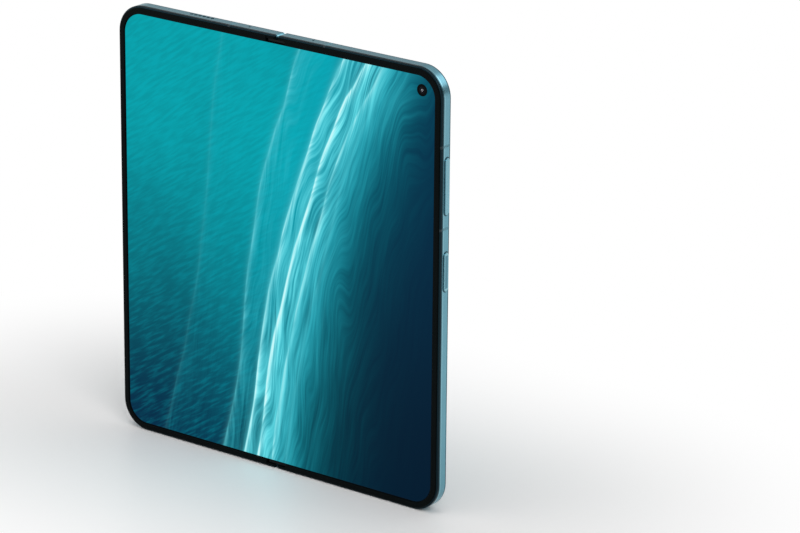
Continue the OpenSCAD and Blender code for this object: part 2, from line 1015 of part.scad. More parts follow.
module cover_glass() {
  color([0.03, 0.10, 0.12])
    mirror([1, 0, 0])
      difference() {
        union() {
          plate_y(glass_y, yb - 0.12)
            glass_outline(cover_glass_r, 0);
          plate_y(yb - 0.12 - eps, yb)
            glass_outline(cover_glass_r, -0.12);
        }
        translate([ccx, glass_y - 1, ccz])
          rotate([-90, 0, 0])
            cylinder(r = cover_cam_r, h = 4);
      }
}

module cover_display_panel() {
  color([0.10, 0.12, 0.13])
    mirror([1, 0, 0])
      difference() {
        plate_y(glass_y - 0.6, glass_y)
          outline(bezel_in + 0.6, rim_strip + 0.5);
        translate([ccx, 0, ccz])
          plate_y(glass_y - 2, yb)
            round_rect(cam_w + 0.6, cam_w + 0.6, 0.5);
      }
}

module cover_camera() {
  color([0.05, 0.06, 0.07])
    mirror([1, 0, 0])
      translate([ccx, 0, ccz]) {
        plate_y(cell_y0, glass_y - 0.05)
          round_rect(cam_w, cam_w, 0.4);
        translate([0, glass_y - 0.1, 0])
          rotate([-90, 0, 0])
            cylinder(r = cover_cam_r - 0.05, h = 0.5);
      }
}

module cover_antenna_bands() {
  color([0.16, 0.33, 0.38])
    mirror([1, 0, 0])
      antenna_bands();
}

module cover_battery() {
  color([0.20, 0.20, 0.22])
    mirror([1, 0, 0])
      cell(cover_cell_z, glass_y - 0.8);
}

module cover_board() {
  ear = ear_w / 2 + 0.6;
  top = cover_board_z[1] - eps;
  color([0.05, 0.22, 0.16])
    mirror([1, 0, 0])
      difference() {
        union() {
          translate([board_x0, board_y, cover_board_z[0]])
            cube([cover_board_x1 - board_x0, board_t, cover_board_z[1] - cover_board_z[0]]);
          translate([board_x0, board_y, top])
            cube([ccx - ear - board_x0, board_t, body_h - 5 - top]);
          translate([ccx + ear + 3, board_y, top])
            cube([cover_board_x1 - 4 - ccx - ear - 3, board_t, body_h - 7 - top]);
          board_plug();
        }
        board_holes(cover_screw);
      }
}

module cover_screws() {
  color([0.55, 0.56, 0.58])
    mirror([1, 0, 0])
      screws(cover_screw);
}

module earpiece_speaker() {
  color([0.10, 0.10, 0.11])
    mirror([1, 0, 0])
      difference() {
        translate([ccx - ear_w / 2, cell_y0, body_h - wall - 2.1])
          cube([ear_w, glass_y - 0.7 - cell_y0, 2]);
        translate([ccx - ear_n * ear_pitch / 2, ear_y - 0.4, body_h - wall - 1])
          cube([ear_n * ear_pitch, 0.8, 2]);
      }
}

module cover_magnets() {
  mirror([1, 0, 0])
    magnets();
}

module cover_tongues() {
  color([0.66, 0.67, 0.69])
    mirror([1, 0, 0])
      tongues();
}

module sim_socket() {
  w = tray_l - 0.2;
  color([0.70, 0.71, 0.72])
    mirror([1, 0, 0])
      difference() {
        translate([tray_x1 - 1, cell_y0, tray_z - w / 2])
          cube([half_w - wall - 0.1 - tray_x1 + 1, tray_y + 0.8 - cell_y0, w]);
        translate([tray_x1 - 2 * tray_slack, tray_y - tray_t / 2 - tray_slack, tray_z - w / 2 + 0.9])
          cube([far, tray_t + 2 * tray_slack, w - 1.8]);
      }
}

module sim_tray() {
  w = tray_l - 2 - 2 * tray_slack;
  color([0.41, 0.64, 0.70])
    mirror([1, 0, 0])
      difference() {
        union() {
          translate([half_w - wall - 0.04, tray_y, tray_z])
            rotate([0, 90, 0])
              linear_extrude(wall + 0.04)
                slot(tray_l, tray_w);
          translate([tray_x1, tray_y - tray_t / 2, tray_z - w / 2])
            cube([half_w - wall - tray_x1, tray_t, w]);
        }
        translate([tray_x1 + 1.2, tray_y - tray_t / 2 + 0.12, tray_z - w / 2 + 2.1])
          cube([12.3, tray_t, w - 4.2]);
        translate([half_w - 1, tray_y, tray_z - tray_l / 2 + 1.6])
          rotate([0, 90, 0])
            cylinder(r = 0.4, h = 3);
      }
}

module spine_cover() {
  color([0.36, 0.58, 0.65])
    difference() {
      translate([0, 0, spine_z0])
        linear_extrude(spine_z1 - spine_z0)
          difference() {
            spine_section(spine_r, axis_y);
            spine_section(spine_in, axis_y - 1);
            for (s = [-1, 1])
              translate([s * axis_x - spine_line_w / 2, axis_y + spine_r - spine_line_d])
                square([spine_line_w, 1]);
          }
      for (z = module_z)
        for (s = [0, 1])
          mirror([s, 0, 0])
            translate([axis_x + 1.2, axis_y - 1, z + mod_gear - 0.15])
              cube([4, gear_y + arm_t / 2 + 0.25 - axis_y + 1, gear_w + 0.3]);
    }
}

module spine_end_caps() {
  cap = 0.8;
  stem = axis_x + 1.05;
  color([0.05, 0.06, 0.07])
    for (z = [spine_z0, spine_z1 - cap])
      translate([0, 0, z])
        linear_extrude(cap) {
          spine_section(spine_in, axis_y);
          translate([-stem, axis_y - 1.4])
            square([2 * stem, 1.4 + eps]);
        }
}

module hinge_brackets() {
  color([0.60, 0.61, 0.63])
    for (z = module_z)
      difference() {
        for (p = [[0, plate_t], [mod_plate2, plate_t], [mod_plate3, mod_l - mod_plate3]])
          translate([0, 0, z + p[0]])
            linear_extrude(p[1])
              spine_section(spine_in, bracket_y);
        for (x = [-arm_gx, -idler_x, idler_x, arm_gx])
          translate([x, gear_y, z - 1])
            cylinder(r = pin_r, h = mod_plate3 + guide_t + 1);
        for (s = [0, 1])
          mirror([s, 0, 0])
            arc_piece(tongue_r0 - tongue_gap, tongue_r1 + tongue_gap, -10, tongue_a1 + 8,
              z + mod_guide, guide_l);
      }
}

module gear_pins() {
  color([0.78, 0.78, 0.80])
    for (z = module_z)
      for (x = [-arm_gx, -idler_x, idler_x, arm_gx])
        translate([x, gear_y, z])
          cylinder(r = pin_r, h = mod_plate3 + guide_t);
}

module friction_washers() {
  color([0.55, 0.50, 0.40])
    for (z = module_z)
      for (x = [-arm_gx, -idler_x, idler_x, arm_gx])
        for (i = [0:5])
          translate([x, gear_y, z + mod_wash + 0.2 + i * 0.65])
            difference() {
              cylinder(r = 0.85, h = 0.35);
              translate([0, 0, -1])
                cylinder(r = pin_r, h = 3);
            }
}

module arm_gear_main() {
  color([0.68, 0.66, 0.60])
    arm_gears(180 / gear_n);
}

module idler_gear_main() {
  color([0.74, 0.70, 0.55])
    gears_at(idler_x, 0);
}

module idler_gear_cover() {
  color([0.74, 0.70, 0.55])
    mirror([1, 0, 0])
      gears_at(idler_x, 180 / gear_n);
}

module arm_gear_cover() {
  color([0.68, 0.66, 0.60])
    mirror([1, 0, 0])
      arm_gears(0);
}

module inner_display_fold() {
  color([0.01, 0.31, 0.38])
    translate([-fold_zone, disp_f, bezel_in])
      cube([2 * fold_zone, disp_t, body_h - 2 * bezel_in]);
}

module hinge_flex() {
  color([0.70, 0.42, 0.12])
    translate([-flex_x, flex_y, flex_z - flex_w / 2])
      cube([2 * flex_x, flex_t, flex_w]);
}

main_frame();
main_bezel();
inner_display_main();
inner_camera();
main_back_glass();
camera_deck();
lens_rings();
lens_glasses();
flash_window();
rear_camera_modules();
main_antenna_bands();
volume_rocker();
power_key();
key_switches();
main_battery();
mainboard();
shield_cans();
main_screws();
charging_coil();
usb_c_port();
loudspeaker();
vibration_motor();
main_magnets();
main_tongues();
cover_frame();
cover_bezel();
inner_display_cover();
cover_glass();
cover_display_panel();
cover_camera();
cover_antenna_bands();
cover_battery();
cover_board();
cover_screws();
earpiece_speaker();
cover_magnets();
cover_tongues();
sim_socket();
sim_tray();
spine_cover();
spine_end_caps();
hinge_brackets();
gear_pins();
friction_washers();
arm_gear_main();
idler_gear_main();
idler_gear_cover();
arm_gear_cover();
inner_display_fold();
hinge_flex();
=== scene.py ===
# %% [markdown]
# # Dressing a folding phone
#
# The frame that this lesson loads is the phone's CAD model: every part is in its place and at its
# real size, in metres. The phone stands open on its bottom edge. Its inner display faces -Y, +Z is
# up, and the fold line is at X = 0, with the main half on +X and the cover half on -X. The lesson
# keeps the CAD shapes, gives them finishes and adds the fine pieces that they leave out.

# %% Load the frame
import math
from functools import partialmethod

import bmesh
import bpy
from mathutils import Matrix, Vector


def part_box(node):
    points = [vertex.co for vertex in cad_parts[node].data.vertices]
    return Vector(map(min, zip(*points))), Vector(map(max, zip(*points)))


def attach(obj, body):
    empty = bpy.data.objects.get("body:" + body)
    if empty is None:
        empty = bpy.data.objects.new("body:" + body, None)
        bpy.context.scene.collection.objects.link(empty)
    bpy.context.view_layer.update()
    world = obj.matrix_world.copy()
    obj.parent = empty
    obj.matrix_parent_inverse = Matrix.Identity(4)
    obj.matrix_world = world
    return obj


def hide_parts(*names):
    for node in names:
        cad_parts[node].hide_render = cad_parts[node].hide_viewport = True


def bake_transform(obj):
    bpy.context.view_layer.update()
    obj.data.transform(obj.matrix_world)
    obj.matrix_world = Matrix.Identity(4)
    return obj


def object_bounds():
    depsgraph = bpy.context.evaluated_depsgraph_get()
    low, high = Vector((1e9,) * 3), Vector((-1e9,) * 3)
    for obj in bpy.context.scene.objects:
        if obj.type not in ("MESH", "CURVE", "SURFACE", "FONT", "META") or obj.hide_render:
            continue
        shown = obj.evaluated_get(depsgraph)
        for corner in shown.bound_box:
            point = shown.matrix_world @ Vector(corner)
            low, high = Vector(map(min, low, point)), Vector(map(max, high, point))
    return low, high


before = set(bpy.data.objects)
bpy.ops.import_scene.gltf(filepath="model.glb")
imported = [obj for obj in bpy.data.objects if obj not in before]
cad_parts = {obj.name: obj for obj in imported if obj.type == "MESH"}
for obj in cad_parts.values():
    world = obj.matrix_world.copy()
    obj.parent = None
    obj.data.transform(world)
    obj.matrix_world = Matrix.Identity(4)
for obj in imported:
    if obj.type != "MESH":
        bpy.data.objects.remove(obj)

cad_low, cad_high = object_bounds()
MM = 0.001
print("CAD box in mm:", [round(v / MM, 2) for v in (*cad_low, *cad_high)])

# %% [markdown]
# ## Sizes that the finishes need
#
# A groove line, a camera hole or the lit part of a screen has to lie exactly where the solid has
# it. Numbers typed twice drift apart, so the places are read from the boxes of the CAD nodes, in
# millimetres.

# %% Read the phone's main sizes
def box(node):
    """Lowest and highest corner of a CAD node, in millimetres."""
    return [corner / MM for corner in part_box(node)]


def middle(node):
    """Middle of a CAD node's box, in millimetres."""
    low, high = box(node)
    return (low + high) / 2


HEIGHT = cad_high.z / MM
HALF = box("main_frame")[1].x
BACK = box("main_back_glass")[1].y
SCREEN_LOW, SCREEN_HIGH = box("inner_display_main")
print("height", round(HEIGHT, 1), "half width", round(HALF, 1), "mm")

# %% [markdown]
# ## Camera
#
# The phone is seen from its right and a little above. A long lens keeps the two halves nearly the
# same size. The angles were solved from the phone's corners, and small turns place it in the
# picture without any lens shift.

# %% Place the camera
SENSOR_WIDTH = 36
CLIP_NEAR, CLIP_FAR = 0.01, 20


def put(name, data):
    """New object in the scene, made of its data."""
    thing = bpy.data.objects.new(name, data)
    bpy.context.scene.collection.objects.link(thing)
    return thing


def turned(vector, axis, degrees):
    """The vector after a turn about an axis."""
    return Matrix.Rotation(math.radians(degrees), 3, axis) @ vector


def make_camera(azimuth, elevation, distance, aim, lens, yaw, pitch, roll):
    """Camera at an angle round the aim point, with its own fine turns in degrees."""
    a, e = math.radians(azimuth), math.radians(elevation)
    back = Vector((math.sin(a) * math.cos(e), -math.cos(a) * math.cos(e), math.sin(e)))
    forward = -back
    up_axis = Vector((0, 0, 1))
    right = forward.cross(up_axis).normalized()
    forward, right = turned(forward, up_axis, yaw), turned(right, up_axis, yaw)
    forward = turned(forward, right, pitch)
    up = right.cross(forward)
    r = math.radians(roll)
    right, up = right * math.cos(r) + up * math.sin(r), up * math.cos(r) - right * math.sin(r)
    data = bpy.data.cameras.new("view")
    data.lens, data.sensor_width = lens, SENSOR_WIDTH
    data.clip_start, data.clip_end = CLIP_NEAR, CLIP_FAR
    camera = put("view", data)
    axes = Matrix((right, up, -forward)).transposed().to_4x4()
    camera.matrix_world = Matrix.Translation(aim + back * distance) @ axes
    bpy.context.scene.camera = camera
    return camera


camera = make_camera(azimuth=38.504, elevation=18.915, distance=1.4021,
                     aim=Vector((0, 0, HEIGHT * MM / 2)), lens=180,
                     yaw=-1.808, pitch=-0.17, roll=0.521)
print("camera at", [round(v, 3) for v in camera.location])

# %% [markdown]
# ## Tools for finishes
#
# Every finish is made of nodes that read a point's place on the object, so nothing slides when the
# camera moves and no image is needed. Wiring Math nodes by hand is slow to read, so a small class
# lets plain sums such as `x * 2 + y` make them, and another holds a material with its shader. Many
# parts share one plain kind of finish: noise varies the colour and the gloss and raises a fine
# grain.

# %% Sums that make nodes
class Wiring:
    """A node tree, to which it adds nodes and links."""

    def __init__(self, tree):
        self.tree = tree

    def node(self, kind, **settings):
        node = self.tree.nodes.new(kind)
        for key, value in settings.items():
            setattr(node, key, value)
        return node

    def feed(self, socket, value):
        """Links a socket to a field or an output, or sets it to a plain value."""
        if isinstance(value, Field):
            value = value.socket
        if isinstance(value, bpy.types.NodeSocket):
            self.tree.links.new(value, socket)
        else:
            socket.default_value = value

    def blend_shaders(self, share, first, second):
        node = self.node("ShaderNodeMixShader")
        for socket, value in zip(node.inputs, (share, first, second)):
            self.feed(socket, value)
        return node.outputs[0]


class Field:
    """A number that varies over a surface or the sky: the output of a node."""

    def __init__(self, wiring, socket):
        self.wiring, self.socket = wiring, socket

    def made(self, operation, *others):
        node = self.wiring.node("ShaderNodeMath", operation=operation)
        for i, value in enumerate((self, *others)):
            self.wiring.feed(node.inputs[i], value)
        return Field(self.wiring, node.outputs[0])

    __add__ = __radd__ = partialmethod(made, "ADD")
    __sub__ = partialmethod(made, "SUBTRACT")
    __mul__ = __rmul__ = partialmethod(made, "MULTIPLY")
    abs = partialmethod(made, "ABSOLUTE")
    sin = partialmethod(made, "SINE")
    exp = partialmethod(made, "EXPONENT")
    root = partialmethod(made, "SQRT")
    whole = partialmethod(made, "ROUND")
    above = partialmethod(made, "GREATER_THAN")
    below = partialmethod(made, "LESS_THAN")
    least = partialmethod(made, "MINIMUM")
    most = partialmethod(made, "MAXIMUM")

    def __rsub__(self, other):
        return self * -1 + other

    def wrap(self, half):
        """The number repeated from -half to half."""
        return self.made("WRAP", half, -half)

    def wave(self, pitch):
        """Wave from -1 to 1 that repeats after each pitch."""
        return (self * (2 * math.pi / pitch)).sin()

    def between(self, low, high):
        return self.above(low) * self.below(high)

    def smooth(self, low, high, to_low=0.0, to_high=1.0):
        node = self.wiring.node("ShaderNodeMapRange", interpolation_type="SMOOTHSTEP")
        for name, value in zip(("Value", "From Min", "From Max", "To Min", "To Max"),
                               (self, low, high, to_low, to_high)):
            self.wiring.feed(node.inputs[name], value)
        return Field(self.wiring, node.outputs["Result"])


print("sums of fields make Math nodes")

# %% A finish with its shader
FADE = 0.06  # width in millimetres over which the edge of a painted area fades


def srgb(red, green, blue):
    """Screen colour of 0 to 255 as the linear colour that nodes use."""
    def linear(value):
        value /= 255
        return value / 12.92 if value <= 0.04045 else ((value + 0.055) / 1.055) ** 2.4
    return (linear(red), linear(green), linear(blue), 1.0)


class Finish(Wiring):
    """A material: its shader, and x, y, z of a point in millimetres, from the object or from its
    rest attribute. The slot, a CAD record's material name, is not used."""

    def __init__(self, name, rest=False, slot=None, **values):
        self.slot = slot
        self.material = bpy.data.materials.new(name)
        self.material.use_nodes = True
        super().__init__(self.material.node_tree)
        self.shader = self.tree.nodes["Principled BSDF"]
        if rest:
            place = self.node("ShaderNodeAttribute", attribute_name="rest").outputs["Vector"]
        else:
            place = self.node("ShaderNodeTexCoord").outputs["Object"]
        apart = self.node("ShaderNodeSeparateXYZ")
        self.feed(apart.inputs[0], place)
        self.x, self.y, self.z = (Field(self, s) * (1 / MM) for s in apart.outputs)
        for socket, value in values.items():
            self.shader.inputs[socket.replace("_", " ")].default_value = value

    def point(self, x, y, z=0.0):
        node = self.node("ShaderNodeCombineXYZ")
        for socket, value in zip(node.inputs, (x, y, z)):
            self.feed(socket, value)
        return node.outputs[0]

    def texture(self, kind, size, at=None):
        node = self.node(kind)
        self.feed(node.inputs["Vector"], self.point(self.x, self.y, self.z) if at is None else at)
        node.inputs["Scale"].default_value = 1 / size
        return node

    def noise(self, size, detail=2.0, at=None):
        """Noise from 0 to 1 whose blobs are about size millimetres across."""
        node = self.texture("ShaderNodeTexNoise", size, at)
        node.inputs["Detail"].default_value = detail
        return Field(self, node.outputs[0])

    def cells(self, size):
        """Distance to the nearest of scattered points, which are about size apart."""
        return Field(self, self.texture("ShaderNodeTexVoronoi", size).outputs["Distance"])

    def mix(self, share, first, second):
        """The first colour where share is 0, the second where it is 1."""
        node = self.node("ShaderNodeMix", data_type="RGBA")
        self.feed(node.inputs[0], share)
        self.feed(node.inputs[6], first)
        self.feed(node.inputs[7], second)
        return node.outputs[2]

    def colour(self, value):
        self.feed(self.shader.inputs["Base Color"], value)

    def paint(self, share, first, second):
        self.colour(self.mix(share, first, second))

    def rough(self, value):
        self.feed(self.shader.inputs["Roughness"], value)

    def bump(self, height, depth):
        """Bump whose full height is depth millimetres."""
        node = self.node("ShaderNodeBump")
        node.inputs["Distance"].default_value = depth * MM
        self.feed(node.inputs["Height"], height)
        self.feed(self.shader.inputs["Normal"], node.outputs[0])

    def glow(self, colour):
        self.feed(self.shader.inputs["Emission Color"], colour)
        self.shader.inputs["Emission Strength"].default_value = 1.0

    def facing(self):
        return Field(self, self.node("ShaderNodeLayerWeight").outputs["Facing"])

    def radius(self, x, z):
        """Distance from the line through x, z along Y."""
        return length(self.x - x, self.z - z)


def length(a, b):
    return (a * a + b * b).root()


def beyond(a, b, wide, tall):
    """How far a, b lies outside a rectangle round 0, and below 0 where it lies inside."""
    return (a.abs() - wide).most(b.abs() - tall)


def inside_area(look, low, high, corner, border):
    """1 inside a rectangle of X and Z with round corners, without its border, 0 outside."""
    cx, cz = (low[0] + high[0]) / 2, (low[1] + high[1]) / 2
    wide, tall = (high[0] - low[0]) / 2 - corner, (high[1] - low[1]) / 2 - corner
    dx, dz = (look.x - cx).abs() - wide, (look.z - cz).abs() - tall
    out = length(dx.most(0.0), dz.most(0.0)) + dx.most(dz).least(0.0) - corner
    return out.smooth(-border - FADE, -border, 1.0, 0.0)


def plain_finish(name, dark, light, mottle, gloss, grain=None, **values):
    """Finish from noise: mottle (size, detail) for the colour, gloss (size, detail, reach, least)
    for the roughness and grain (size, detail, depth) for a bump."""
    look = Finish(name, **values)
    look.paint(look.noise(*mottle), dark, light)
    size, detail, reach, least = gloss
    look.rough(look.noise(size, detail) * reach + least)
    if grain:
        size, detail, depth = grain
        look.bump(look.noise(size, detail), depth)
    return look


dressed = set()


def dress(finish, *nodes):
    """Gives a finish to CAD nodes, whose meshes stay as they are."""
    for name in nodes:
        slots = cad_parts[name].material_slots
        if not slots:
            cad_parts[name].data.materials.append(finish.material)
        for place in slots:
            place.material = finish.material
    dressed.update(nodes)


print("middle grey as a linear colour:", round(srgb(128, 128, 128)[0], 3))

# %% [markdown]
# ## Floor and light
#
# A studio picture stands its object on a pale sweep under soft boxes. One big floor does here,
# since the camera looks down on it. Near the phone it is a lit surface, which catches the shadow
# and a little of the screen's colour. Further out it fades to plain white for what the camera,
# metal and glass see, while it lights the phone no more than paper would.
#
# The sky is white too where it is seen. Polished metal has to mirror something darker, or it looks
# like flat paint. So for mirror rays alone the sky has a darker band above the horizon, and one
# bright and one dark spot, which put a glint and a shade on the frame's upper corner.

# %% Make the floor
FLOOR_DROP = 0.00003


def make_floor(radius, lit, faded):
    """Round floor that turns from lit paper to plain white between two distances."""
    bm = bmesh.new()
    bmesh.ops.create_circle(bm, cap_ends=True, segments=96, radius=radius)
    mesh = bpy.data.meshes.new("floor")
    bm.to_mesh(mesh)
    bm.free()
    floor = put("floor", mesh)
    floor.location.z = -FLOOR_DROP
    paper = Finish("pale_floor", Roughness=0.32, Specular_IOR_Level=0.25)
    paper.paint(paper.noise(3.0, 4.0), (0.93, 0.93, 0.93, 1), (0.95, 0.95, 0.95, 1))
    away = length((paper.x.abs() - HALF).most(0.0), paper.y).smooth(lit / MM, faded / MM)
    rays = paper.node("ShaderNodeLightPath")
    seen = Field(paper, rays.outputs["Is Camera Ray"])
    for kind in ("Is Glossy Ray", "Is Transmission Ray"):
        seen = seen.most(Field(paper, rays.outputs[kind]))
    white = paper.node("ShaderNodeEmission").outputs[0]
    output = next(n for n in paper.tree.nodes if n.type == "OUTPUT_MATERIAL")
    paper.feed(output.inputs["Surface"],
               paper.blend_shaders(away * seen, paper.shader.outputs[0], white))
    mesh.materials.append(paper.material)


make_floor(radius=6.0, lit=0.012, faded=0.15)
print("floor stands", FLOOR_DROP / MM, "mm below the phone")

# %% Make the soft boxes and the sky
# The band's edges are heights of a direction above the horizon, as a share of its length. A spot's
# edges are the cosine of the angle from its middle.
BAND_FOOT, BAND_TOP = (0.1, 0.3), (0.42, 0.56)
BRIGHT_EDGE, DARK_EDGE = (0.935, 0.985), (0.965, 0.99)
WHITE_SKY, HIGH_SKY, BRIGHT_SPOT, DARK_SPOT = 1.0, 0.95, 3.0, 0.2
# name, place, size and power of each lamp
LAMPS = (
    ("key", (0.75, -0.55, 0.75), 0.5, 4.2),
    ("fill", (-0.8, -0.7, 0.45), 0.7, 2.2),
    ("top", (0.05, -0.12, 1.15), 0.8, 3.4),
)
LAMP_AIM = (0, 0, 0.08)


def soft_box(name, place, aim, size, power):
    """Square lamp that looks at the aim point."""
    data = bpy.data.lights.new(name, "AREA")
    data.shape, data.size, data.energy = "SQUARE", size, power
    lamp = put(name, data)
    lamp.location = place
    lamp.rotation_euler = (Vector(aim) - lamp.location).to_track_quat("-Z", "Y").to_euler()


def make_sky(level, band, bright_way, dark_way):
    """White where it is seen, a plain level for what it lights, band and spots for metal."""
    world = bpy.data.worlds.new("studio")
    bpy.context.scene.world = world
    world.use_nodes = True
    sky = Wiring(world.node_tree)
    sky.tree.nodes.clear()
    direction = sky.node("ShaderNodeTexCoord").outputs["Generated"]
    apart = sky.node("ShaderNodeSeparateXYZ")
    sky.feed(apart.inputs[0], direction)
    up = Field(sky, apart.outputs["Z"])

    def toward(way):
        """Cosine of the angle between the seen direction and a way."""
        node = sky.node("ShaderNodeVectorMath", operation="DOT_PRODUCT")
        sky.feed(node.inputs[0], direction)
        sky.feed(node.inputs[1], Vector(way).normalized())
        return Field(sky, node.outputs["Value"])

    def shade(strength):
        node = sky.node("ShaderNodeBackground")
        sky.feed(node.inputs["Strength"], strength)
        return node.outputs[0]

    mirrored = up.smooth(*BAND_FOOT, WHITE_SKY, band).most(up.smooth(*BAND_TOP, band, HIGH_SKY))
    mirrored = mirrored.most(toward(bright_way).smooth(*BRIGHT_EDGE, 0.0, BRIGHT_SPOT))
    mirrored = mirrored.least(toward(dark_way).smooth(*DARK_EDGE, BRIGHT_SPOT, DARK_SPOT))
    rays = sky.node("ShaderNodeLightPath")
    seen = shade(level)
    for kind, strength in (("Is Glossy Ray", mirrored), ("Is Transmission Ray", WHITE_SKY),
                           ("Is Camera Ray", WHITE_SKY)):
        seen = sky.blend_shaders(rays.outputs[kind], seen, shade(strength))
    sky.feed(sky.node("ShaderNodeOutputWorld").inputs["Surface"], seen)


make_sky(level=0.5, band=0.52, bright_way=(0.42, 0.74, 0.53), dark_way=(0.66, 0.74, 0.08))
for name, place, size, power in LAMPS:
    soft_box(name, place, LAMP_AIM, size, power)
bpy.context.scene.view_settings.view_transform = "Standard"
print("sky and", len(LAMPS), "soft boxes")

# %% [markdown]
# ## Anodised frame
#
# The rails are aluminium, blasted to a fine satin, dyed teal and anodised. The rim beside the bezel
# is darker in two steps, and two hairline grooves, which the CAD has, run round the side. Fine
# noise gives the blasted grain, a slower one lets the dye drift, and masks by depth darken the rim.
# The grooves are painted dark as painted shade, and the edge between rim and side is polished and
# given a paler colour as a painted highlight. A mask round each key paints shade beside its narrow
# gap.

# %% Metal of the two halves
TEAL_METAL = srgb(112, 166, 181)
TEAL_METAL_DEEP = srgb(98, 150, 166)
TEAL_PALE = srgb(146, 194, 205)
RIM_DARK = srgb(54, 94, 106)
RIM_BLACK = srgb(18, 36, 43)
# painted shade, for the grooves and the gaps round the keys
PAINTED_SHADE = srgb(16, 48, 60)
# depths on Y, and sizes, in millimetres
RIM_LEVEL, RIM_STEP = -1.1, -1.92
EDGE_LEVEL, EDGE_CORE, EDGE_REACH = RIM_LEVEL + 0.3, 0.1, 0.3
GROOVES = ((-1.93, -1.55), (2.01, 2.31))
BODY_CORNER, SIDE_DEPTH = 10.5, 0.5
KEY_SHADE, KEY_FADE, KEY_PROUD, KEY_DEPTH = 0.34, 0.08, 0.05, 1.0


def with_rim(look, colour):
    """Adds the rim's two dark steps to a colour."""
    for level, dark in ((RIM_LEVEL, RIM_DARK), (RIM_STEP, RIM_BLACK)):
        colour = look.mix(look.y.smooth(level, level + FADE, 1.0, 0.0), colour, dark)
    return colour


def key_face(node):
    """Middle and half size of the part of a key that stands out of the frame."""
    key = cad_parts[node]
    spots = [key.matrix_world @ v.co / MM for v in key.data.vertices]
    proud = [p for p in spots if p.x > HALF + KEY_PROUD]
    ys, zs = [p.y for p in proud], [p.z for p in proud]
    return ((min(ys) + max(ys)) / 2, (min(zs) + max(zs)) / 2,
            (max(ys) - min(ys)) / 2, (max(zs) - min(zs)) / 2)


def key_gap(look, node):
    """1 on the frame in a band round a key, where its edge lies in shade."""
    y, z, half_y, half_z = key_face(node)
    along = ((look.z - z).abs() - (half_z - half_y)).most(0.0)
    out = length(look.y - y, along) - half_y
    near = out.smooth(KEY_SHADE, KEY_SHADE + KEY_FADE, 1.0, 0.0)
    return near * look.x.above(HALF - KEY_DEPTH)


def teal_metal(name, grooves=True):
    """Satin dyed aluminium, darker at the rim, with painted shade and a painted edge highlight."""
    metal = Finish(name, Metallic=0.95)
    drift = metal.noise(9.0, 3.0)
    fine = metal.noise(0.07)
    colour = metal.mix(drift * 0.75 + fine * 0.25, TEAL_METAL_DEEP, TEAL_METAL)
    rough = drift * 0.06 + fine * 0.06 + 0.24
    if grooves:
        # the polished edge is smoother, and its paler colour is a painted highlight
        polish_and_highlight = (metal.y - EDGE_LEVEL).abs().smooth(EDGE_CORE, EDGE_REACH, 1.0, 0.0)
        colour = with_rim(metal, metal.mix(polish_and_highlight * 0.6, colour, TEAL_PALE))
        rough = rough - polish_and_highlight * 0.1
        outside = 1.0 - inside_area(metal, (-HALF, 0.0), (HALF, HEIGHT), BODY_CORNER, SIDE_DEPTH)
        # the grooves' dark colour is painted shade
        for low, high in GROOVES:
            line = metal.y.between(low, high) * outside
            colour = metal.mix(line * 0.95, colour, PAINTED_SHADE)
            rough = rough + line * 0.3
        for node in ("volume_rocker", "power_key"):
            colour = metal.mix(key_gap(metal, node) * 0.9, colour, PAINTED_SHADE)
    metal.colour(colour)
    metal.rough(rough)
    metal.bump(fine, 0.0012)
    return metal


rail = teal_metal("anodised_rail")
dress(rail, "main_frame", "cover_frame")
print("frame dressed, grooves at", GROOVES)

# %% [markdown]
# ## Keys and aerial strips
#
# The volume rocker is milled from the same bar and brushed along its length. The power key is
# flatter and darker, since its face is a fingerprint reader with a bright cut edge. The aerial
# strips are injected plastic in a near colour, ground flush with the metal, so they are matt.

# %% Dress the keys and the strips
rocker = Finish("brushed_rocker", Metallic=0.92)
brush = rocker.noise(0.06, at=rocker.point(rocker.x * 6, rocker.y * 6, rocker.z * 0.08))
rocker.paint(brush, TEAL_METAL_DEEP, TEAL_PALE)
rocker.rough(brush * 0.16 + 0.2)
rocker.bump(brush, 0.003)
dress(rocker, "volume_rocker")

POWER = middle("power_key")
READER_WIDE, READER_TALL, CHAMFER = 0.85, 6.0, 0.2
reader = Finish("reader_key", Metallic=0.92)
rim = beyond(reader.y - POWER.y, reader.z - POWER.z, READER_WIDE, READER_TALL)
reader.paint(rim.smooth(-CHAMFER, 0.0), srgb(84, 134, 150), srgb(134, 182, 194))
reader.rough(reader.noise(0.12) * 0.12 + 0.24)
reader.bump(reader.noise(0.12), 0.003)
dress(reader, "power_key")

strip = Finish("aerial_strip", Specular_IOR_Level=0.35)
strip.colour(with_rim(strip, strip.mix(strip.noise(0.25, 3.0), srgb(82, 133, 148),
                                       srgb(98, 150, 164))))
strip.rough(strip.noise(0.2) * 0.15 + 0.45)
strip.bump(strip.noise(0.12), 0.004)
dress(strip, "main_antenna_bands", "cover_antenna_bands")
print("keys and strips dressed")

# %% [markdown]
# ## Bezel and end caps
#
# The raised bezel is soft black polyurethane: it keeps the two halves of the screen apart when the
# phone is shut. It is nearly matt, with a fine moulded grain, and skin oil leaves it a little
# smoother in places. The caps at the fold's ends are a harder black.

# %% Dress the black parts
bezel = plain_finish("soft_bezel", srgb(2, 6, 7), srgb(7, 12, 13), mottle=(7.0, 3.0),
                     gloss=(7.0, 3.0, 0.14, 0.34), grain=(0.12, 2.0, 0.004),
                     Specular_IOR_Level=0.03)
dress(bezel, "main_bezel", "cover_bezel")
cap = plain_finish("cap_black", srgb(8, 11, 12), srgb(18, 22, 24), mottle=(2.0, 3.0),
                   gloss=(0.8, 2.0, 0.15, 0.3), grain=(0.08, 2.0, 0.003), Specular_IOR_Level=0.08)
dress(cap, "spine_end_caps")
print("bezel and caps dressed")

# %% [markdown]
# ## The picture on the screens
#
# A lit screen's colour goes into the shader's emission, over a black gloss base that still shows
# reflections. The wallpaper is a plain abstract of our own: lengths of silk that lean across a
# ground of teal, blue and navy. Each has an edge curve. Its light is strongest there and dies away
# behind it, and noise drawn out along the edge makes threads.

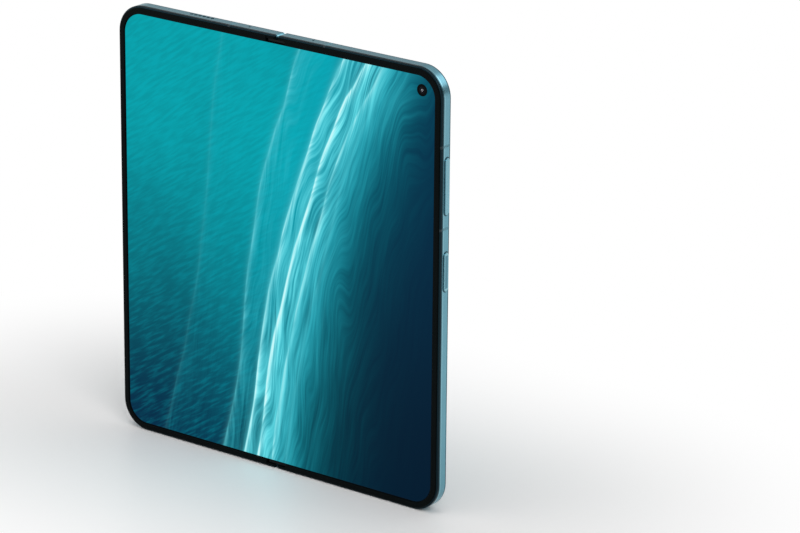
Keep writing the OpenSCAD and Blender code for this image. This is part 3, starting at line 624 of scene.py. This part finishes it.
# %% Draw the silk
TEAL, DEEP, NAVY = srgb(0, 160, 170), srgb(0, 42, 70), srgb(0, 25, 46)
CYAN, PALE, WHITE = srgb(0, 186, 206), srgb(118, 238, 246), srgb(214, 252, 252)
GROUND_LEAN, GROUND_SHIFT = 0.72, 0.34
# centre, lean, sway, waves, phase, width behind the edge, strength
SILK = (
    (-0.80, 0.50, 0.06, 3.1, 0.6, 0.22, 0.10),
    (-0.46, 0.70, 0.10, 3.6, 1.9, 0.14, 0.40),
    (-0.31, 0.80, 0.10, 3.9, 2.2, 0.14, 0.90),
    (-0.20, 0.80, 0.11, 3.7, 2.5, 0.15, 1.15),
    (-0.06, 0.74, 0.11, 3.3, 2.9, 0.13, 0.70),
    (0.08, 0.62, 0.10, 3.0, 3.3, 0.10, 0.22),
)


def silk_ground(look, across, up):
    """Teal, blue and navy behind the silk, with a fine ripple on the teal side."""
    left = look.mix(up.smooth(0.0, 0.85), DEEP, TEAL)
    right = look.mix(up.smooth(0.0, 1.0), NAVY, DEEP)
    lean = across - up * GROUND_LEAN + GROUND_SHIFT
    colour = look.mix(lean.smooth(-0.12, 0.22), left, right)
    ripple = look.noise(0.011, 4.0, at=look.point(across * 0.1 + up * 0.06,
                                                  up * 1.3 - across * 0.35))
    cloud = look.noise(0.8, at=look.point(across, up * 1.2))
    teal_side = lean.smooth(-0.1, 0.2, 1.0, 0.0)
    for share, tone in ((ripple.smooth(0.4, 0.8) * teal_side * 0.2, CYAN),
                        (ripple.smooth(0.3, 0.6, 1.0, 0.0) * teal_side * 0.12, DEEP),
                        (cloud.smooth(0.45, 0.75) * teal_side * 0.22, DEEP),
                        ((lean.abs() * -5).exp() * up.smooth(-0.2, 0.8) * 0.4, CYAN)):
        colour = look.mix(share, colour, tone)
    return colour


def silk_picture(look, across, up):
    """Colour of the wallpaper: across runs from -1 to 1 and up from 0 to 1."""
    colour = silk_ground(look, across, up)
    warp = look.noise(0.35, at=look.point(across, up * 0.6)) - 0.5
    for centre, tilt, sway, waves, phase, width, strength in SILK:
        edge = up * tilt + (up * waves + phase).sin() * sway + warp * 0.12 + centre
        behind = across - edge
        fade = (behind.most(0.0) * (-1 / width)).exp() * behind.smooth(-0.01, 0.004)
        drawn = behind + warp * 0.5
        threads = look.noise(0.05, 5.0, at=look.point(drawn * 1.4, up * 0.2, centre * 9))
        veins = look.noise(0.013, 4.0, at=look.point(drawn, up * 0.12, centre * 5))
        light = fade * (threads * 2.0 + veins * 1.6 - 1.15).most(0.0) * strength
        crest = (behind.abs() * -90).exp() * strength * 0.45
        colour = look.mix(light.least(1.0), colour, CYAN)
        colour = look.mix((light * light * 1.1 + crest).least(1.0), colour, PALE)
        colour = look.mix((light * light * crest * 3.0).least(0.8), colour, WHITE)
    return colour


print("wallpaper with", len(SILK), "lengths of silk")

# %% Finish the inner screen
INNER_CAM = middle("inner_camera")
SCREEN_CORNER, SCREEN_BORDER, SCREEN_SKIN, INNER_HOLE = 7.9, 0.3, 0.2, 2.1


def screen_finish(name, rest):
    """Lit inner screen, dark round the camera's hole and below its front."""
    look = Finish(name, rest=rest, slot="display", Roughness=0.09, Specular_IOR_Level=0.025)
    edge = SCREEN_HIGH.x
    shown = inside_area(look, (-edge, SCREEN_LOW.z), (edge, SCREEN_HIGH.z), SCREEN_CORNER,
                        SCREEN_BORDER)
    shown = shown * look.radius(INNER_CAM.x, INNER_CAM.z).smooth(INNER_HOLE, INNER_HOLE + FADE)
    shown = shown * look.y.below(SCREEN_LOW.y + SCREEN_SKIN)
    colour = silk_picture(look, look.x * (1 / edge), look.z * (1 / HEIGHT))
    look.glow(look.mix(shown, (0, 0, 0, 1), colour))
    look.paint(shown, srgb(6, 8, 9), srgb(1, 2, 3))
    return look


screen = screen_finish("inner_screen", rest=False)
dress(screen, "inner_display_main", "inner_display_cover")
fold_screen = screen_finish("fold_screen", rest=True)
print("inner screen dressed, half width", round(SCREEN_HIGH.x, 1), "mm")

# %% [markdown]
# ## The part of the screen that bends
#
# The middle of the screen is one sheet that turns through both hinges. A plate can't do that, so
# each side of it becomes a fine strip of columns. The strips meet on the fold line, where a real
# folded screen keeps a faint valley, so the front sinks a little. Each point also stores where it
# started, because the picture must not slide when the strip bends.

# %% Tools that build pieces
SHARP_ANGLE = 35


def finish_piece(name, bm, look, body=None):
    """Turns a bmesh into a piece with a finish, smooth but for its sharp edges."""
    bmesh.ops.recalc_face_normals(bm, faces=bm.faces)
    mesh = bpy.data.meshes.new(name)
    bm.to_mesh(mesh)
    bm.free()
    for face in mesh.polygons:
        face.use_smooth = True
    mesh.set_sharp_from_angle(angle=math.radians(SHARP_ANGLE))
    mesh.materials.append(look.material)
    piece = put(name, mesh)
    if body:
        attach(piece, body)
    return piece


def remember_rest(piece):
    """Stores each point's first place on the piece."""
    stored = piece.data.attributes.new("rest", "FLOAT_VECTOR", "POINT")
    flat = [c for v in piece.data.vertices for c in v.co]
    stored.data.foreach_set("vector", flat)


def bending_strip(name, xs, fronts, back, low, high, look, rows=12):
    """Closed strip of columns at xs, its front at fronts and its back at one depth."""
    bm = bmesh.new()
    zs = [low + (high - low) * i / rows for i in range(rows + 1)]
    sheets = [[[bm.verts.new((x, y, z)) for z in zs] for x, y in zip(xs, ys)]
              for ys in (fronts, [back] * len(xs))]
    for sheet in sheets:
        for a, b in zip(sheet, sheet[1:]):
            for i in range(rows):
                bm.faces.new((a[i], b[i], b[i + 1], a[i + 1]))
    front, rear = sheets
    for i in range(len(xs) - 1):
        for k in (0, -1):
            bm.faces.new((front[i][k], front[i + 1][k], rear[i + 1][k], rear[i][k]))
    for i in (0, -1):
        for k in range(rows):
            bm.faces.new((front[i][k], front[i][k + 1], rear[i][k + 1], rear[i][k]))
    piece = finish_piece(name, bm, look)
    remember_rest(piece)
    return piece


print("edges of more than", SHARP_ANGLE, "degrees stay sharp")

# %% Make the bending strips of the screen
VALLEY_DEPTH, VALLEY_REACH = 0.00003, 0.0022


def fold_halves(name, node, look, columns, dip=0.0):
    """Two strips that stand for a CAD node, one on each side of the fold line."""
    low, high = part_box(node)
    made = []
    for side, label in ((1, "main"), (-1, "cover")):
        xs = [side * high.x * i / columns for i in range(columns + 1)]
        fronts = [low.y + dip * math.exp(-(x / VALLEY_REACH) ** 2) for x in xs]
        piece = bending_strip(f"{name}_{label}", xs, fronts, high.y, low.z, high.z, look)
        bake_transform(piece)
        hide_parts(node)
        made.append(piece)
    return made


strips = fold_halves("fold_screen", "inner_display_fold", fold_screen, columns=40,
                     dip=VALLEY_DEPTH)
print("fold strips of", len(strips[0].data.vertices), "points each")

# %% [markdown]
# ## Flat cable across the hinge
#
# The halves talk through a flat cable: copper tracks between two films of amber polyimide. It lies
# across the hinge like the screen and is made of two strips too. Its tracks run along X, so a wave
# across Z draws them, and the copper is a little brighter and shinier.

# %% Make the bending strips of the cable
TRACK_PITCH = 0.6
cable = Finish("amber_cable", rest=True, slot="flex_film", Coat_Weight=0.5, Coat_Roughness=0.1)
track = cable.z.wave(TRACK_PITCH).smooth(-0.2, 0.2)
cable.paint(track, srgb(96, 52, 14), srgb(196, 118, 52))
cable.rough(track * -0.12 + cable.noise(1.5) * 0.1 + 0.4)
cable.bump(track, 0.01)
cables = fold_halves("fold_cable", "hinge_flex", cable, columns=48)
print("cable strips of", len(cables[0].data.vertices), "points each")

# %% [markdown]
# ## Cover screen
#
# The outer screen is one sheet of toughened glass: black round its border from a print on its
# inside, and lit in the middle. It shows the inner screen's picture, mirrored to read the right
# way from behind and enlarged to fill the narrower glass. Glass is smoother and reflects more than
# the plastic film inside.

# %% Dress the cover glass and its panel
GLASS_LOW, GLASS_HIGH = box("cover_glass")
COVER_CAM = middle("cover_camera")
GLASS_CORNER, PRINT_BORDER, GLASS_SKIN, COVER_HOLE = 9.6, 1.7, 0.06, 2.4
PICTURE_PART = 1.25  # how much of the picture's run from -1 to 1 the cover shows
cover = Finish("cover_screen", Roughness=0.05, Specular_IOR_Level=0.12)
shown = inside_area(cover, (GLASS_LOW.x, GLASS_LOW.z), (GLASS_HIGH.x, GLASS_HIGH.z),
                    GLASS_CORNER, PRINT_BORDER)
shown = shown * cover.radius(COVER_CAM.x, COVER_CAM.z).smooth(COVER_HOLE, COVER_HOLE + FADE)
shown = shown * cover.y.above(BACK - GLASS_SKIN)
width = GLASS_HIGH.x - GLASS_LOW.x
across = (cover.x - (GLASS_LOW.x + GLASS_HIGH.x) / 2) * (-PICTURE_PART / width)
cover.glow(cover.mix(shown, (0, 0, 0, 1), silk_picture(cover, across, cover.z * (1 / HEIGHT))))
cover.paint(shown, srgb(8, 10, 11), srgb(4, 5, 6))
dress(cover, "cover_glass")

panel = plain_finish("panel_back", srgb(34, 36, 40), srgb(58, 60, 64), mottle=(4.0, 3.0),
                     gloss=(0.5, 3.0, 0.2, 0.35), grain=(1.2, 3.0, 0.02), Metallic=0.4)
dress(panel, "cover_display_panel")
print("cover screen dressed")

# %% [markdown]
# ## Turned pieces
#
# Lens barrels, glass domes and rings are all turned shapes: a profile of radius and height, spun
# round an axis. One call can make the piece at several centres, as the three rear cameras need.

# %% Turn a profile
def turned_piece(name, profile, centres, facing, look, body, closed=False, steps=64):
    """Spins a profile of (radius, height along +Y or -Y) at each centre, in millimetres."""
    bm = bmesh.new()
    for centre in centres:
        rings = []
        for radius, height in profile:
            spots = 1 if radius < 1e-6 else steps
            ring = []
            for k in range(spots):
                a = 2 * math.pi * k / steps
                spot = Vector((radius * math.cos(a), facing * height, radius * math.sin(a)))
                ring.append(bm.verts.new((centre + spot) * MM))
            rings.append(ring)
        for a, b in zip(rings, rings[1:] + (rings[:1] if closed else [])):
            for k in range(steps):
                j = (k + 1) % steps
                corners = [a[k % len(a)], a[j % len(a)], b[j % len(b)], b[k % len(b)]]
                corners = list(dict.fromkeys(corners))
                if len(corners) > 2:
                    bm.faces.new(corners)
    return finish_piece(name, bm, look, body)


def dome(radius, height, foot, steps):
    """Profile of a dome that is flat below, from its foot on the axis to its top."""
    turns = [math.radians(90 * i / steps) for i in range(steps)]
    curve = [(radius * math.cos(t), foot + height * math.sin(t)) for t in turns]
    return [(0.0, foot), *curve, (0.0, foot + height)]


print("heights of a dome in 4 steps:", [round(h, 2) for _, h in dome(1, 1, 0, 4)])

# %% [markdown]
# ## Small cameras in the screens
#
# The hole in each screen shows a black barrel with a small glass dome deep inside. The CAD has a
# plain black plug there, on which a turned ring and a dome give the eye its depth, and a bright
# little ring of pale metal is a painted glint. A real lens has a coating that reflects violet,
# which a mix by the facing angle gives as a painted reflection.

# %% Build the small cameras
black = plain_finish("lens_black", srgb(3, 4, 5), srgb(8, 9, 10), mottle=(0.3, 2.0),
                     gloss=(0.15, 2.0, 0.15, 0.45), grain=(0.1, 2.0, 0.003),
                     slot="camera_black", Specular_IOR_Level=0.03)
dress(black, "inner_camera", "cover_camera")

coated = Finish("coated_lens", slot="lens", Specular_IOR_Level=0.08)
# the violet at grazing angles is a painted reflection of the lens coating
coating_reflection = coated.mix(coated.facing().smooth(0.1, 0.6), srgb(2, 3, 8), srgb(14, 10, 34))
speck = coated.noise(0.8)
coated.paint(speck.smooth(0.45, 0.7) * 0.5, coating_reflection, srgb(4, 16, 22))
coated.rough(speck * 0.02 + 0.02)

# a pale metal ring at the middle of the dome stands for the lens's glint: a painted glint
painted_glint_metal = plain_finish("painted_glint_metal", srgb(150, 154, 160), srgb(206, 210, 216),
                          mottle=(0.1, 2.0), gloss=(0.1, 2.0, 0.1, 0.2), slot="can_metal",
                          Metallic=1.0)

# profiles of (radius, height) above the plug, in millimetres
EYE_RADIUS, EYE_BULGE = 1.2, 0.06
EYE_RING = ((1.95, 0.0), (1.95, 0.03), (1.75, 0.045), (1.25, 0.02), (EYE_RADIUS, 0.0))
EYE_GLINT_RING = ((0.42, 0.045), (0.42, 0.07), (0.3, 0.072), (0.3, 0.045))


def small_camera(name, node, facing, body):
    """Ring, dome, and a pale ring for a painted glint, on the front of a screen camera's plug."""
    face = box(node)[0 if facing < 0 else 1].y
    place = [Vector((middle(node).x, face, middle(node).z))]
    eye = dome(EYE_RADIUS, EYE_BULGE, 0.0, steps=10)
    turned_piece(name + "_ring", EYE_RING, place, facing, black, body, closed=True)
    turned_piece(name + "_glint_iris", EYE_GLINT_RING, place, facing, painted_glint_metal, body, closed=True)
    turned_piece(name + "_dome", eye, place, facing, coated, body)


small_camera("inner_eye", "inner_camera", -1, "main_half")
small_camera("cover_eye", "cover_camera", 1, "cover_half")
print("two small cameras built")

# %% [markdown]
# ## Back glass and camera island
#
# The back is etched glass over a teal film: matt to the touch, with a fine sparkle and a soft
# sheen. The island is darker and polished. Its rings are turned metal, so a wave by radius cuts
# hairline rings into them. All three are one node, and wrapping the height by the pitch of the
# cameras finds the nearest centre.

# %% Dress the back
back = Finish("etched_back", Metallic=0.35, Coat_Weight=0.35, Coat_Roughness=0.3)
sparkle = back.cells(0.16)
veil = back.noise(30.0)
back.paint(sparkle.smooth(0.1, 0.7) * 0.35 + veil * 0.5, srgb(132, 186, 198),
           srgb(98, 158, 174))
back.rough(sparkle * 0.16 + 0.3)
back.bump(back.noise(0.1, 3.0), 0.004)
dress(back, "main_back_glass")

RINGS_LOW, RINGS_HIGH = box("lens_rings")
LENS_X = (RINGS_LOW.x + RINGS_HIGH.x) / 2
RING_R = (RINGS_HIGH.x - RINGS_LOW.x) / 2
LENS_Z = [RINGS_LOW.z + RING_R, (RINGS_LOW.z + RINGS_HIGH.z) / 2, RINGS_HIGH.z - RING_R]
HAIR_PITCH = 0.12


def nearest_lens(look):
    """Distance from the axis of the nearest rear camera."""
    half = (LENS_Z[1] - LENS_Z[0]) / 2
    return length(look.x - LENS_X, (look.z - LENS_Z[1]).wrap(half))


deck = Finish("island_gloss", Metallic=0.5, Coat_Weight=1.0, Coat_Roughness=0.04)
deck.paint(deck.noise(0.1) * 0.5 + deck.noise(12.0) * 0.5, srgb(50, 92, 106),
           srgb(76, 124, 138))
deck.rough(deck.noise(0.1) * 0.15 + 0.3)
deck.bump(deck.noise(0.08), 0.003)
dress(deck, "camera_deck")

turned_metal = Finish("turned_ring", Metallic=1.0)
hair = nearest_lens(turned_metal).wave(HAIR_PITCH) * 0.5 + 0.5
turned_metal.paint(hair * 0.5 + turned_metal.noise(3.0) * 0.5,
                   srgb(104, 156, 170), srgb(168, 210, 218))
turned_metal.rough(hair * 0.1 + 0.14)
turned_metal.bump(hair, 0.004)
dress(turned_metal, "lens_rings")
print("lens centres at x", round(LENS_X, 1), "z", [round(z, 1) for z in LENS_Z])

# %% [markdown]
# ## Rear lenses
#
# Under each clear window a real camera steps inwards: a black barrel, an iris and a domed front
# element. The CAD has one black disc for each. A stepped barrel with a collar, a coated dome and a
# thin clear window stand for it here.

# %% Build the rear lenses
LENS_CENTRES = [Vector((LENS_X, box("camera_deck")[1].y, z)) for z in LENS_Z]
# profiles of (radius, height) above the island's face, in millimetres
BARREL = ((4.96, -0.68), (4.96, -0.14), (4.5, -0.14), (4.3, -0.3), (3.7, -0.34), (3.55, -0.46),
          (2.95, -0.5), (2.8, -0.62), (0.0, -0.62), (0.0, -0.68))
COLLAR = ((3.7, -0.34), (3.7, -0.28), (3.45, -0.26), (3.2, -0.3), (3.2, -0.48), (3.55, -0.46))
WINDOW = ((0.0, -0.1), (4.9, -0.1), (4.98, -0.04), (4.98, 0.04), (4.92, 0.1), (0.0, 0.1))
ELEMENT_RADIUS, ELEMENT_BULGE, ELEMENT_FOOT = 2.8, 0.36, -0.6
PUPIL, PUPIL_EDGE, VIOLET, VIOLET_EDGE = 0.9, 1.15, 1.7, 2.5
RIB_PITCH = 0.22

ribbed = Finish("ribbed_barrel", slot="camera_black", Specular_IOR_Level=0.1)
ribs = nearest_lens(ribbed).wave(RIB_PITCH) * 0.5 + 0.5
ribbed.paint(ribs, srgb(5, 6, 7), srgb(22, 24, 27))
ribbed.rough(ribs * -0.1 + 0.42)
ribbed.bump(ribs, 0.02)
turned_piece("lens_barrels", BARREL, LENS_CENTRES, 1, ribbed, "main_half", closed=True)
collar = plain_finish("barrel_metal", srgb(5, 6, 7), srgb(14, 15, 17), mottle=(0.2, 2.0),
                      gloss=(0.2, 2.0, 0.12, 0.26), slot="camera_black", Metallic=0.8)
turned_piece("lens_collars", COLLAR, LENS_CENTRES, 1, collar, "main_half", closed=True)

element = Finish("front_element", slot="lens", Specular_IOR_Level=0.4)
away = nearest_lens(element)
# painted shade in the middle; the violet ring and grazing teal are painted coating reflections
pupil_shade_and_reflection = element.mix(away.smooth(PUPIL, PUPIL_EDGE), srgb(2, 2, 4), srgb(14, 18, 46))
pupil_shade_and_reflection = element.mix(away.smooth(VIOLET, VIOLET_EDGE), pupil_shade_and_reflection, srgb(58, 34, 104))
element.paint(element.facing().smooth(0.2, 0.7), pupil_shade_and_reflection, srgb(20, 96, 92))
element.rough(element.noise(0.6) * 0.03 + 0.05)
bulge = dome(ELEMENT_RADIUS, ELEMENT_BULGE, ELEMENT_FOOT, steps=12)
turned_piece("lens_elements", bulge, LENS_CENTRES, 1, element, "main_half")

window = Finish("clear_window", slot="lens", Transmission_Weight=1.0, IOR=1.2)
window.paint(window.noise(4.0), (0.93, 0.97, 1, 1), (1, 1, 1, 1))
window.rough(window.noise(2.0) * 0.004)
covers = turned_piece("lens_windows", WINDOW, LENS_CENTRES, 1, window, "main_half")
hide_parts("lens_glasses")
print("rear lenses built at", len(LENS_CENTRES), "centres")

# %% Dress the flash and the camera modules
FLASH = middle("flash_window")
CHIP, PRISM_PITCH = 0.45, 0.2
flash = Finish("flash_diffuser", Coat_Weight=0.8, Coat_Roughness=0.05, Roughness=0.2)
rings = flash.radius(FLASH.x, FLASH.z).wave(PRISM_PITCH) * 0.5 + 0.5
chip = beyond(flash.x - FLASH.x, flash.z - FLASH.z, CHIP, CHIP)
flash.paint(chip.smooth(0.0, 0.12), srgb(246, 214, 96),
            flash.mix(rings, srgb(206, 204, 186), srgb(248, 246, 232)))
flash.bump(rings, 0.03)
dress(flash, "flash_window")

module = plain_finish("module_black", srgb(20, 21, 24), srgb(44, 46, 50), mottle=(1.5, 3.0),
                      gloss=(0.2, 3.0, 0.2, 0.35), grain=(0.15, 2.0, 0.01), Metallic=0.3)
dress(module, "rear_camera_modules")
print("flash and camera modules dressed")

# %% [markdown]
# ## Port and sound slots
#
# Inside the port's drawn shell a black tongue carries gold contacts. The CAD has shell and tongue
# in one node, so a mask by place gives the tongue its plastic, and the contacts are fine pieces on
# it. Behind the sound slots sits a woven mesh that keeps dust out: a thin sheet just inside the
# wall.

# %% Dress the port and build its contacts
def blocks_piece(name, blocks, edge, look, body):
    """One piece of many soft-edged blocks, given as corner pairs in millimetres."""
    bm = bmesh.new()
    for corners in blocks:
        low, high = (Vector(corner) * MM for corner in corners)
        made = bmesh.ops.create_cube(bm, size=1)["verts"]
        for v in made:
            v.co = Vector(c * s for c, s in zip(v.co, high - low)) + (high + low) / 2
        sides = list(dict.fromkeys(e for v in made for e in v.link_edges))
        bmesh.ops.bevel(bm, geom=sides, offset=edge * MM, segments=2, affect="EDGES")
    return finish_piece(name, bm, look, body)


PORT = middle("usb_c_port")
TONGUE_WIDE, TONGUE_THICK, TONGUE_FROM = 3.36, 0.36, 0.65
CONTACTS, CONTACT_PITCH, CONTACT_WIDE, CONTACT_EDGE = 12, 0.5, 0.13, 0.02
CONTACT_INSIDE, CONTACT_OUTSIDE = 0.34, 0.4
CONTACT_FROM, CONTACT_TO = 0.95, 4.2
port = Finish("drawn_shell")
tongue = beyond(port.x - PORT.x, port.y - PORT.y, TONGUE_WIDE, TONGUE_THICK).below(0.0)
tongue = tongue * port.z.above(TONGUE_FROM)
grain = port.noise(0.3, at=port.point(port.x * 4, port.y * 4, port.z * 0.3))
port.paint(tongue, port.mix(grain, srgb(150, 154, 158), srgb(196, 199, 202)),
           srgb(18, 19, 21))
port.rough(grain * 0.15 + 0.24)
port.feed(port.shader.inputs["Metallic"], 1.0 - tongue)
port.bump(grain, 0.004)
dress(port, "usb_c_port")

gold = plain_finish("contact_gold", srgb(214, 168, 84), srgb(240, 204, 124), mottle=(0.4, 2.0),
                    gloss=(0.2, 2.0, 0.15, 0.18), Metallic=1.0)
contacts = []
for i in range(CONTACTS):
    x = PORT.x + (i - (CONTACTS - 1) / 2) * CONTACT_PITCH
    for side in (-1, 1):
        y = sorted((PORT.y + side * CONTACT_INSIDE, PORT.y + side * CONTACT_OUTSIDE))
        contacts.append(((x - CONTACT_WIDE, y[0], CONTACT_FROM),
                         (x + CONTACT_WIDE, y[1], CONTACT_TO)))
blocks_piece("port_contacts", contacts, CONTACT_EDGE, gold, "main_half")
print("port with", len(contacts), "contacts")

# %% Build the sound mesh and dress the speakers
WALL, THREAD_PITCH, EAR_Y = 1.4, 0.22, 0.9
SHEET_WIDE, SHEET_DEEP, SHEET_THICK, SHEET_EDGE, SHEET_GAP = 6.3, 0.65, 0.06, 0.01, 0.02
cloth = Finish("sound_mesh", slot="module_black", Metallic=0.5)
weave = cloth.x.wave(THREAD_PITCH).abs() * cloth.y.wave(THREAD_PITCH).abs()
cloth.paint(weave.smooth(0.1, 0.6), srgb(30, 33, 36), srgb(4, 5, 6))
cloth.rough(weave * 0.3 + 0.4)
cloth.bump(weave, -0.03)


def sound_sheet(name, speaker, y, low, body):
    """Sheet of mesh behind the slots of a speaker, with its lower face at low."""
    x = middle(speaker).x
    sheet = ((x - SHEET_WIDE, y - SHEET_DEEP, low),
             (x + SHEET_WIDE, y + SHEET_DEEP, low + SHEET_THICK))
    blocks_piece(name, [sheet], SHEET_EDGE, cloth, body)


sound_sheet("earpiece_mesh", "earpiece_speaker", EAR_Y,
            HEIGHT - WALL - SHEET_GAP - SHEET_THICK, "cover_half")
sound_sheet("loudspeaker_mesh", "loudspeaker", PORT.y, WALL + SHEET_GAP, "main_half")

sound_box = plain_finish("moulded_speaker", srgb(20, 21, 23), srgb(36, 38, 41),
                         mottle=(1.0, 3.0), gloss=(0.15, 2.0, 0.2, 0.45),
                         grain=(0.12, 2.0, 0.01), Specular_IOR_Level=0.4)
dress(sound_box, "loudspeaker", "earpiece_speaker")
print("sound mesh and speakers done")

# %% [markdown]
# ## Hinge and small metal parts
#
# When the phone folds, its spine turns outwards: a bar of the same teal aluminium, polished and
# brushed along its length. Inside are hard parts of sintered and turned steel, with a grain in the
# direction they were made: round the pins and gears and along the brackets. These finishes, and
# those of the motor, magnets and screws, differ in a few values only, so each is a row of a table.

# %% Dress the hinge and the small metal parts
def worked_metal(name, dark, light, stretch, size, rough, depth=0.004):
    """Bare metal with a grain of a size, squeezed along each axis by its stretch."""
    look = Finish(name, Metallic=1.0)
    place = look.point(look.x * stretch[0], look.y * stretch[1], look.z * stretch[2])
    grain = look.noise(size, 3.0, at=place)
    cloud = look.noise(size * 25)
    look.paint(grain * 0.6 + cloud * 0.4, dark, light)
    look.rough(grain * 0.16 + rough)
    look.bump(grain, depth)
    return look


# finish, dark and light colour, stretch, size of the grain, least roughness, depth, and then the
# nodes that wear it
WORKED = (
    (("brushed_spine", TEAL_METAL_DEEP, TEAL_PALE, (6, 6, 0.06), 0.1, 0.18), "spine_cover"),
    (("sintered_steel", srgb(120, 122, 125), srgb(176, 178, 180), (1, 1, 1), 0.12, 0.34, 0.01),
     "main_tongues", "cover_tongues"),
    (("milled_bracket", srgb(132, 134, 138), srgb(190, 192, 195), (5, 5, 0.3), 0.12, 0.26),
     "hinge_brackets"),
    (("ground_pin", srgb(168, 170, 173), srgb(220, 221, 222), (1, 1, 9), 0.1, 0.12), "gear_pins"),
    (("spring_steel", srgb(120, 104, 74), srgb(184, 170, 140), (1, 1, 8), 0.1, 0.2),
     "friction_washers"),
    (("hardened_gear", srgb(128, 116, 92), srgb(188, 176, 148), (1, 1, 6), 0.1, 0.24),
     "arm_gear_main", "arm_gear_cover"),
    (("idler_gear", srgb(150, 128, 84), srgb(206, 186, 136), (1, 1, 6), 0.1, 0.22),
     "idler_gear_main", "idler_gear_cover"),
    (("motor_can", srgb(150, 152, 155), srgb(204, 205, 207), (5, 1, 0.2), 0.15, 0.2),
     "vibration_motor"),
    (("plated_magnet", srgb(158, 160, 164), srgb(214, 215, 217), (1, 1, 1), 0.4, 0.14),
     "main_magnets", "cover_magnets"),
    (("screw_steel", srgb(96, 98, 102), srgb(168, 170, 173), (1, 6, 1), 0.15, 0.24),
     "main_screws", "cover_screws"),
)
for values, *nodes in WORKED:
    dress(worked_metal(*values), *nodes)
dress(teal_metal("tray_metal", grooves=False), "sim_tray")
print("hinge and small metal parts dressed")

# %% [markdown]
# ## Inner parts
#
# These are hidden but are parts in their own right. Pouch cells are wrapped in a laminate that
# puckers slightly, with two amber tapes round them. Boards are green lacquer over a maze of copper
# tracks: waves along X or along Z, as noise decides for each field of a coarse grid. Cell distances
# add the bare pads. Cans are tinned sheet with a punched pattern of dimples.

# %% Dress the cells, boards and cans
TAPES = ((42.0, 44.6), (82.0, 84.6))
FIELD_X, FIELD_Z = 2.4, 0.6  # fields of the board's grid in a millimetre
BOARD_PITCH, DIMPLE_HALF_PITCH, DIMPLE, DIMPLE_RIM = 0.5, 0.8, 0.22, 0.32
pouch = Finish("cell_pouch", Metallic=0.25, Coat_Weight=0.3, Coat_Roughness=0.3)
pucker = pouch.noise(6.0, 4.0, at=pouch.point(pouch.x, pouch.y, pouch.z * 0.5))
lower, upper = (pouch.z.between(*tape) for tape in TAPES)
band = upper.most(lower)
pouch.paint(band * 0.9, pouch.mix(pucker, srgb(34, 35, 39), srgb(58, 60, 66)),
            srgb(176, 116, 40))
pouch.rough(pucker * 0.2 + 0.32 - band * 0.1)
pouch.bump(pucker * 0.8 + band * 0.2, 0.08)
dress(pouch, "main_battery", "cover_battery")

board = Finish("lacquered_board", Coat_Weight=0.6, Coat_Roughness=0.15)
grid = board.point((board.x * FIELD_X).whole(), 0.0, (board.z * FIELD_Z).whole())
columns = board.noise(1.7, 1.0, at=grid).above(0.5)
lane, cross = (way.wave(BOARD_PITCH).smooth(0.3, 0.6) for way in (board.x, board.z))
tracks = lane * columns + cross * (1.0 - columns)
pads = board.cells(2.2).smooth(0.16, 0.12, 0.0, 1.0)
lacquer = board.mix(tracks, srgb(6, 46, 34), srgb(18, 84, 60))
board.paint(pads, lacquer, srgb(206, 176, 104))
board.rough(pads * -0.15 + board.noise(0.4) * 0.1 + 0.38)
board.feed(board.shader.inputs["Metallic"], pads * 0.9)
board.bump(tracks * 0.5 + pads * 0.5, 0.02)
dress(board, "mainboard", "cover_board")

can = Finish("tinned_can", Metallic=1.0)
dimple_and_shade = length(can.x.wrap(DIMPLE_HALF_PITCH), can.z.wrap(DIMPLE_HALF_PITCH))
dimple_and_shade = dimple_and_shade.smooth(DIMPLE, DIMPLE_RIM)
tin = can.mix(can.noise(5.0, 3.0), srgb(168, 170, 172), srgb(204, 205, 206))
# the dimples' hollows are painted darker: painted shade
can.paint(dimple_and_shade, srgb(120, 122, 124), tin)
can.rough(can.noise(0.5, 3.0) * 0.15 + 0.24)
can.bump(dimple_and_shade, 0.06)
dress(can, "shield_cans", "sim_socket")
print("cells, boards and cans dressed")

# %% Dress the coil and the switches
COIL = middle("charging_coil")
WIRE_PITCH = 0.2
DOME_FROM, DOME_FADE = 0.5, 0.05
coil = Finish("wound_copper", Metallic=1.0)
turn = coil.radius(COIL.x, COIL.z).wave(WIRE_PITCH) * 0.5 + 0.5
coil.paint(turn * 0.7 + coil.noise(2.0) * 0.3, srgb(140, 70, 36), srgb(222, 138, 88))
coil.rough(turn * 0.1 + 0.24)
coil.bump(turn, 0.03)
dress(coil, "charging_coil")

switch = Finish("switch_flex", Coat_Weight=0.4, Coat_Roughness=0.2)
edge_x = box("key_switches")[0].x + DOME_FROM
domed = switch.x.smooth(edge_x, edge_x + DOME_FADE)
film = switch.mix(switch.noise(0.8, 3.0), srgb(150, 92, 34), srgb(186, 126, 58))
switch.paint(domed, film, srgb(196, 198, 200))
switch.feed(switch.shader.inputs["Metallic"], domed)
switch.rough(switch.noise(0.3) * 0.15 + 0.28)
switch.bump(switch.noise(0.3), 0.005)
dress(switch, "key_switches")
print("coil and switches dressed")

# %% [markdown]
# ## Last looks before the render
#
# The dressed model has to stay inside the CAD model's box. A node that still has its plain colour
# is named here.

# %% Name the nodes without a finish
bare = sorted(n for n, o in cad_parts.items() if n not in dressed and not o.hide_render)
print("CAD nodes without a finish:", bare or "none")
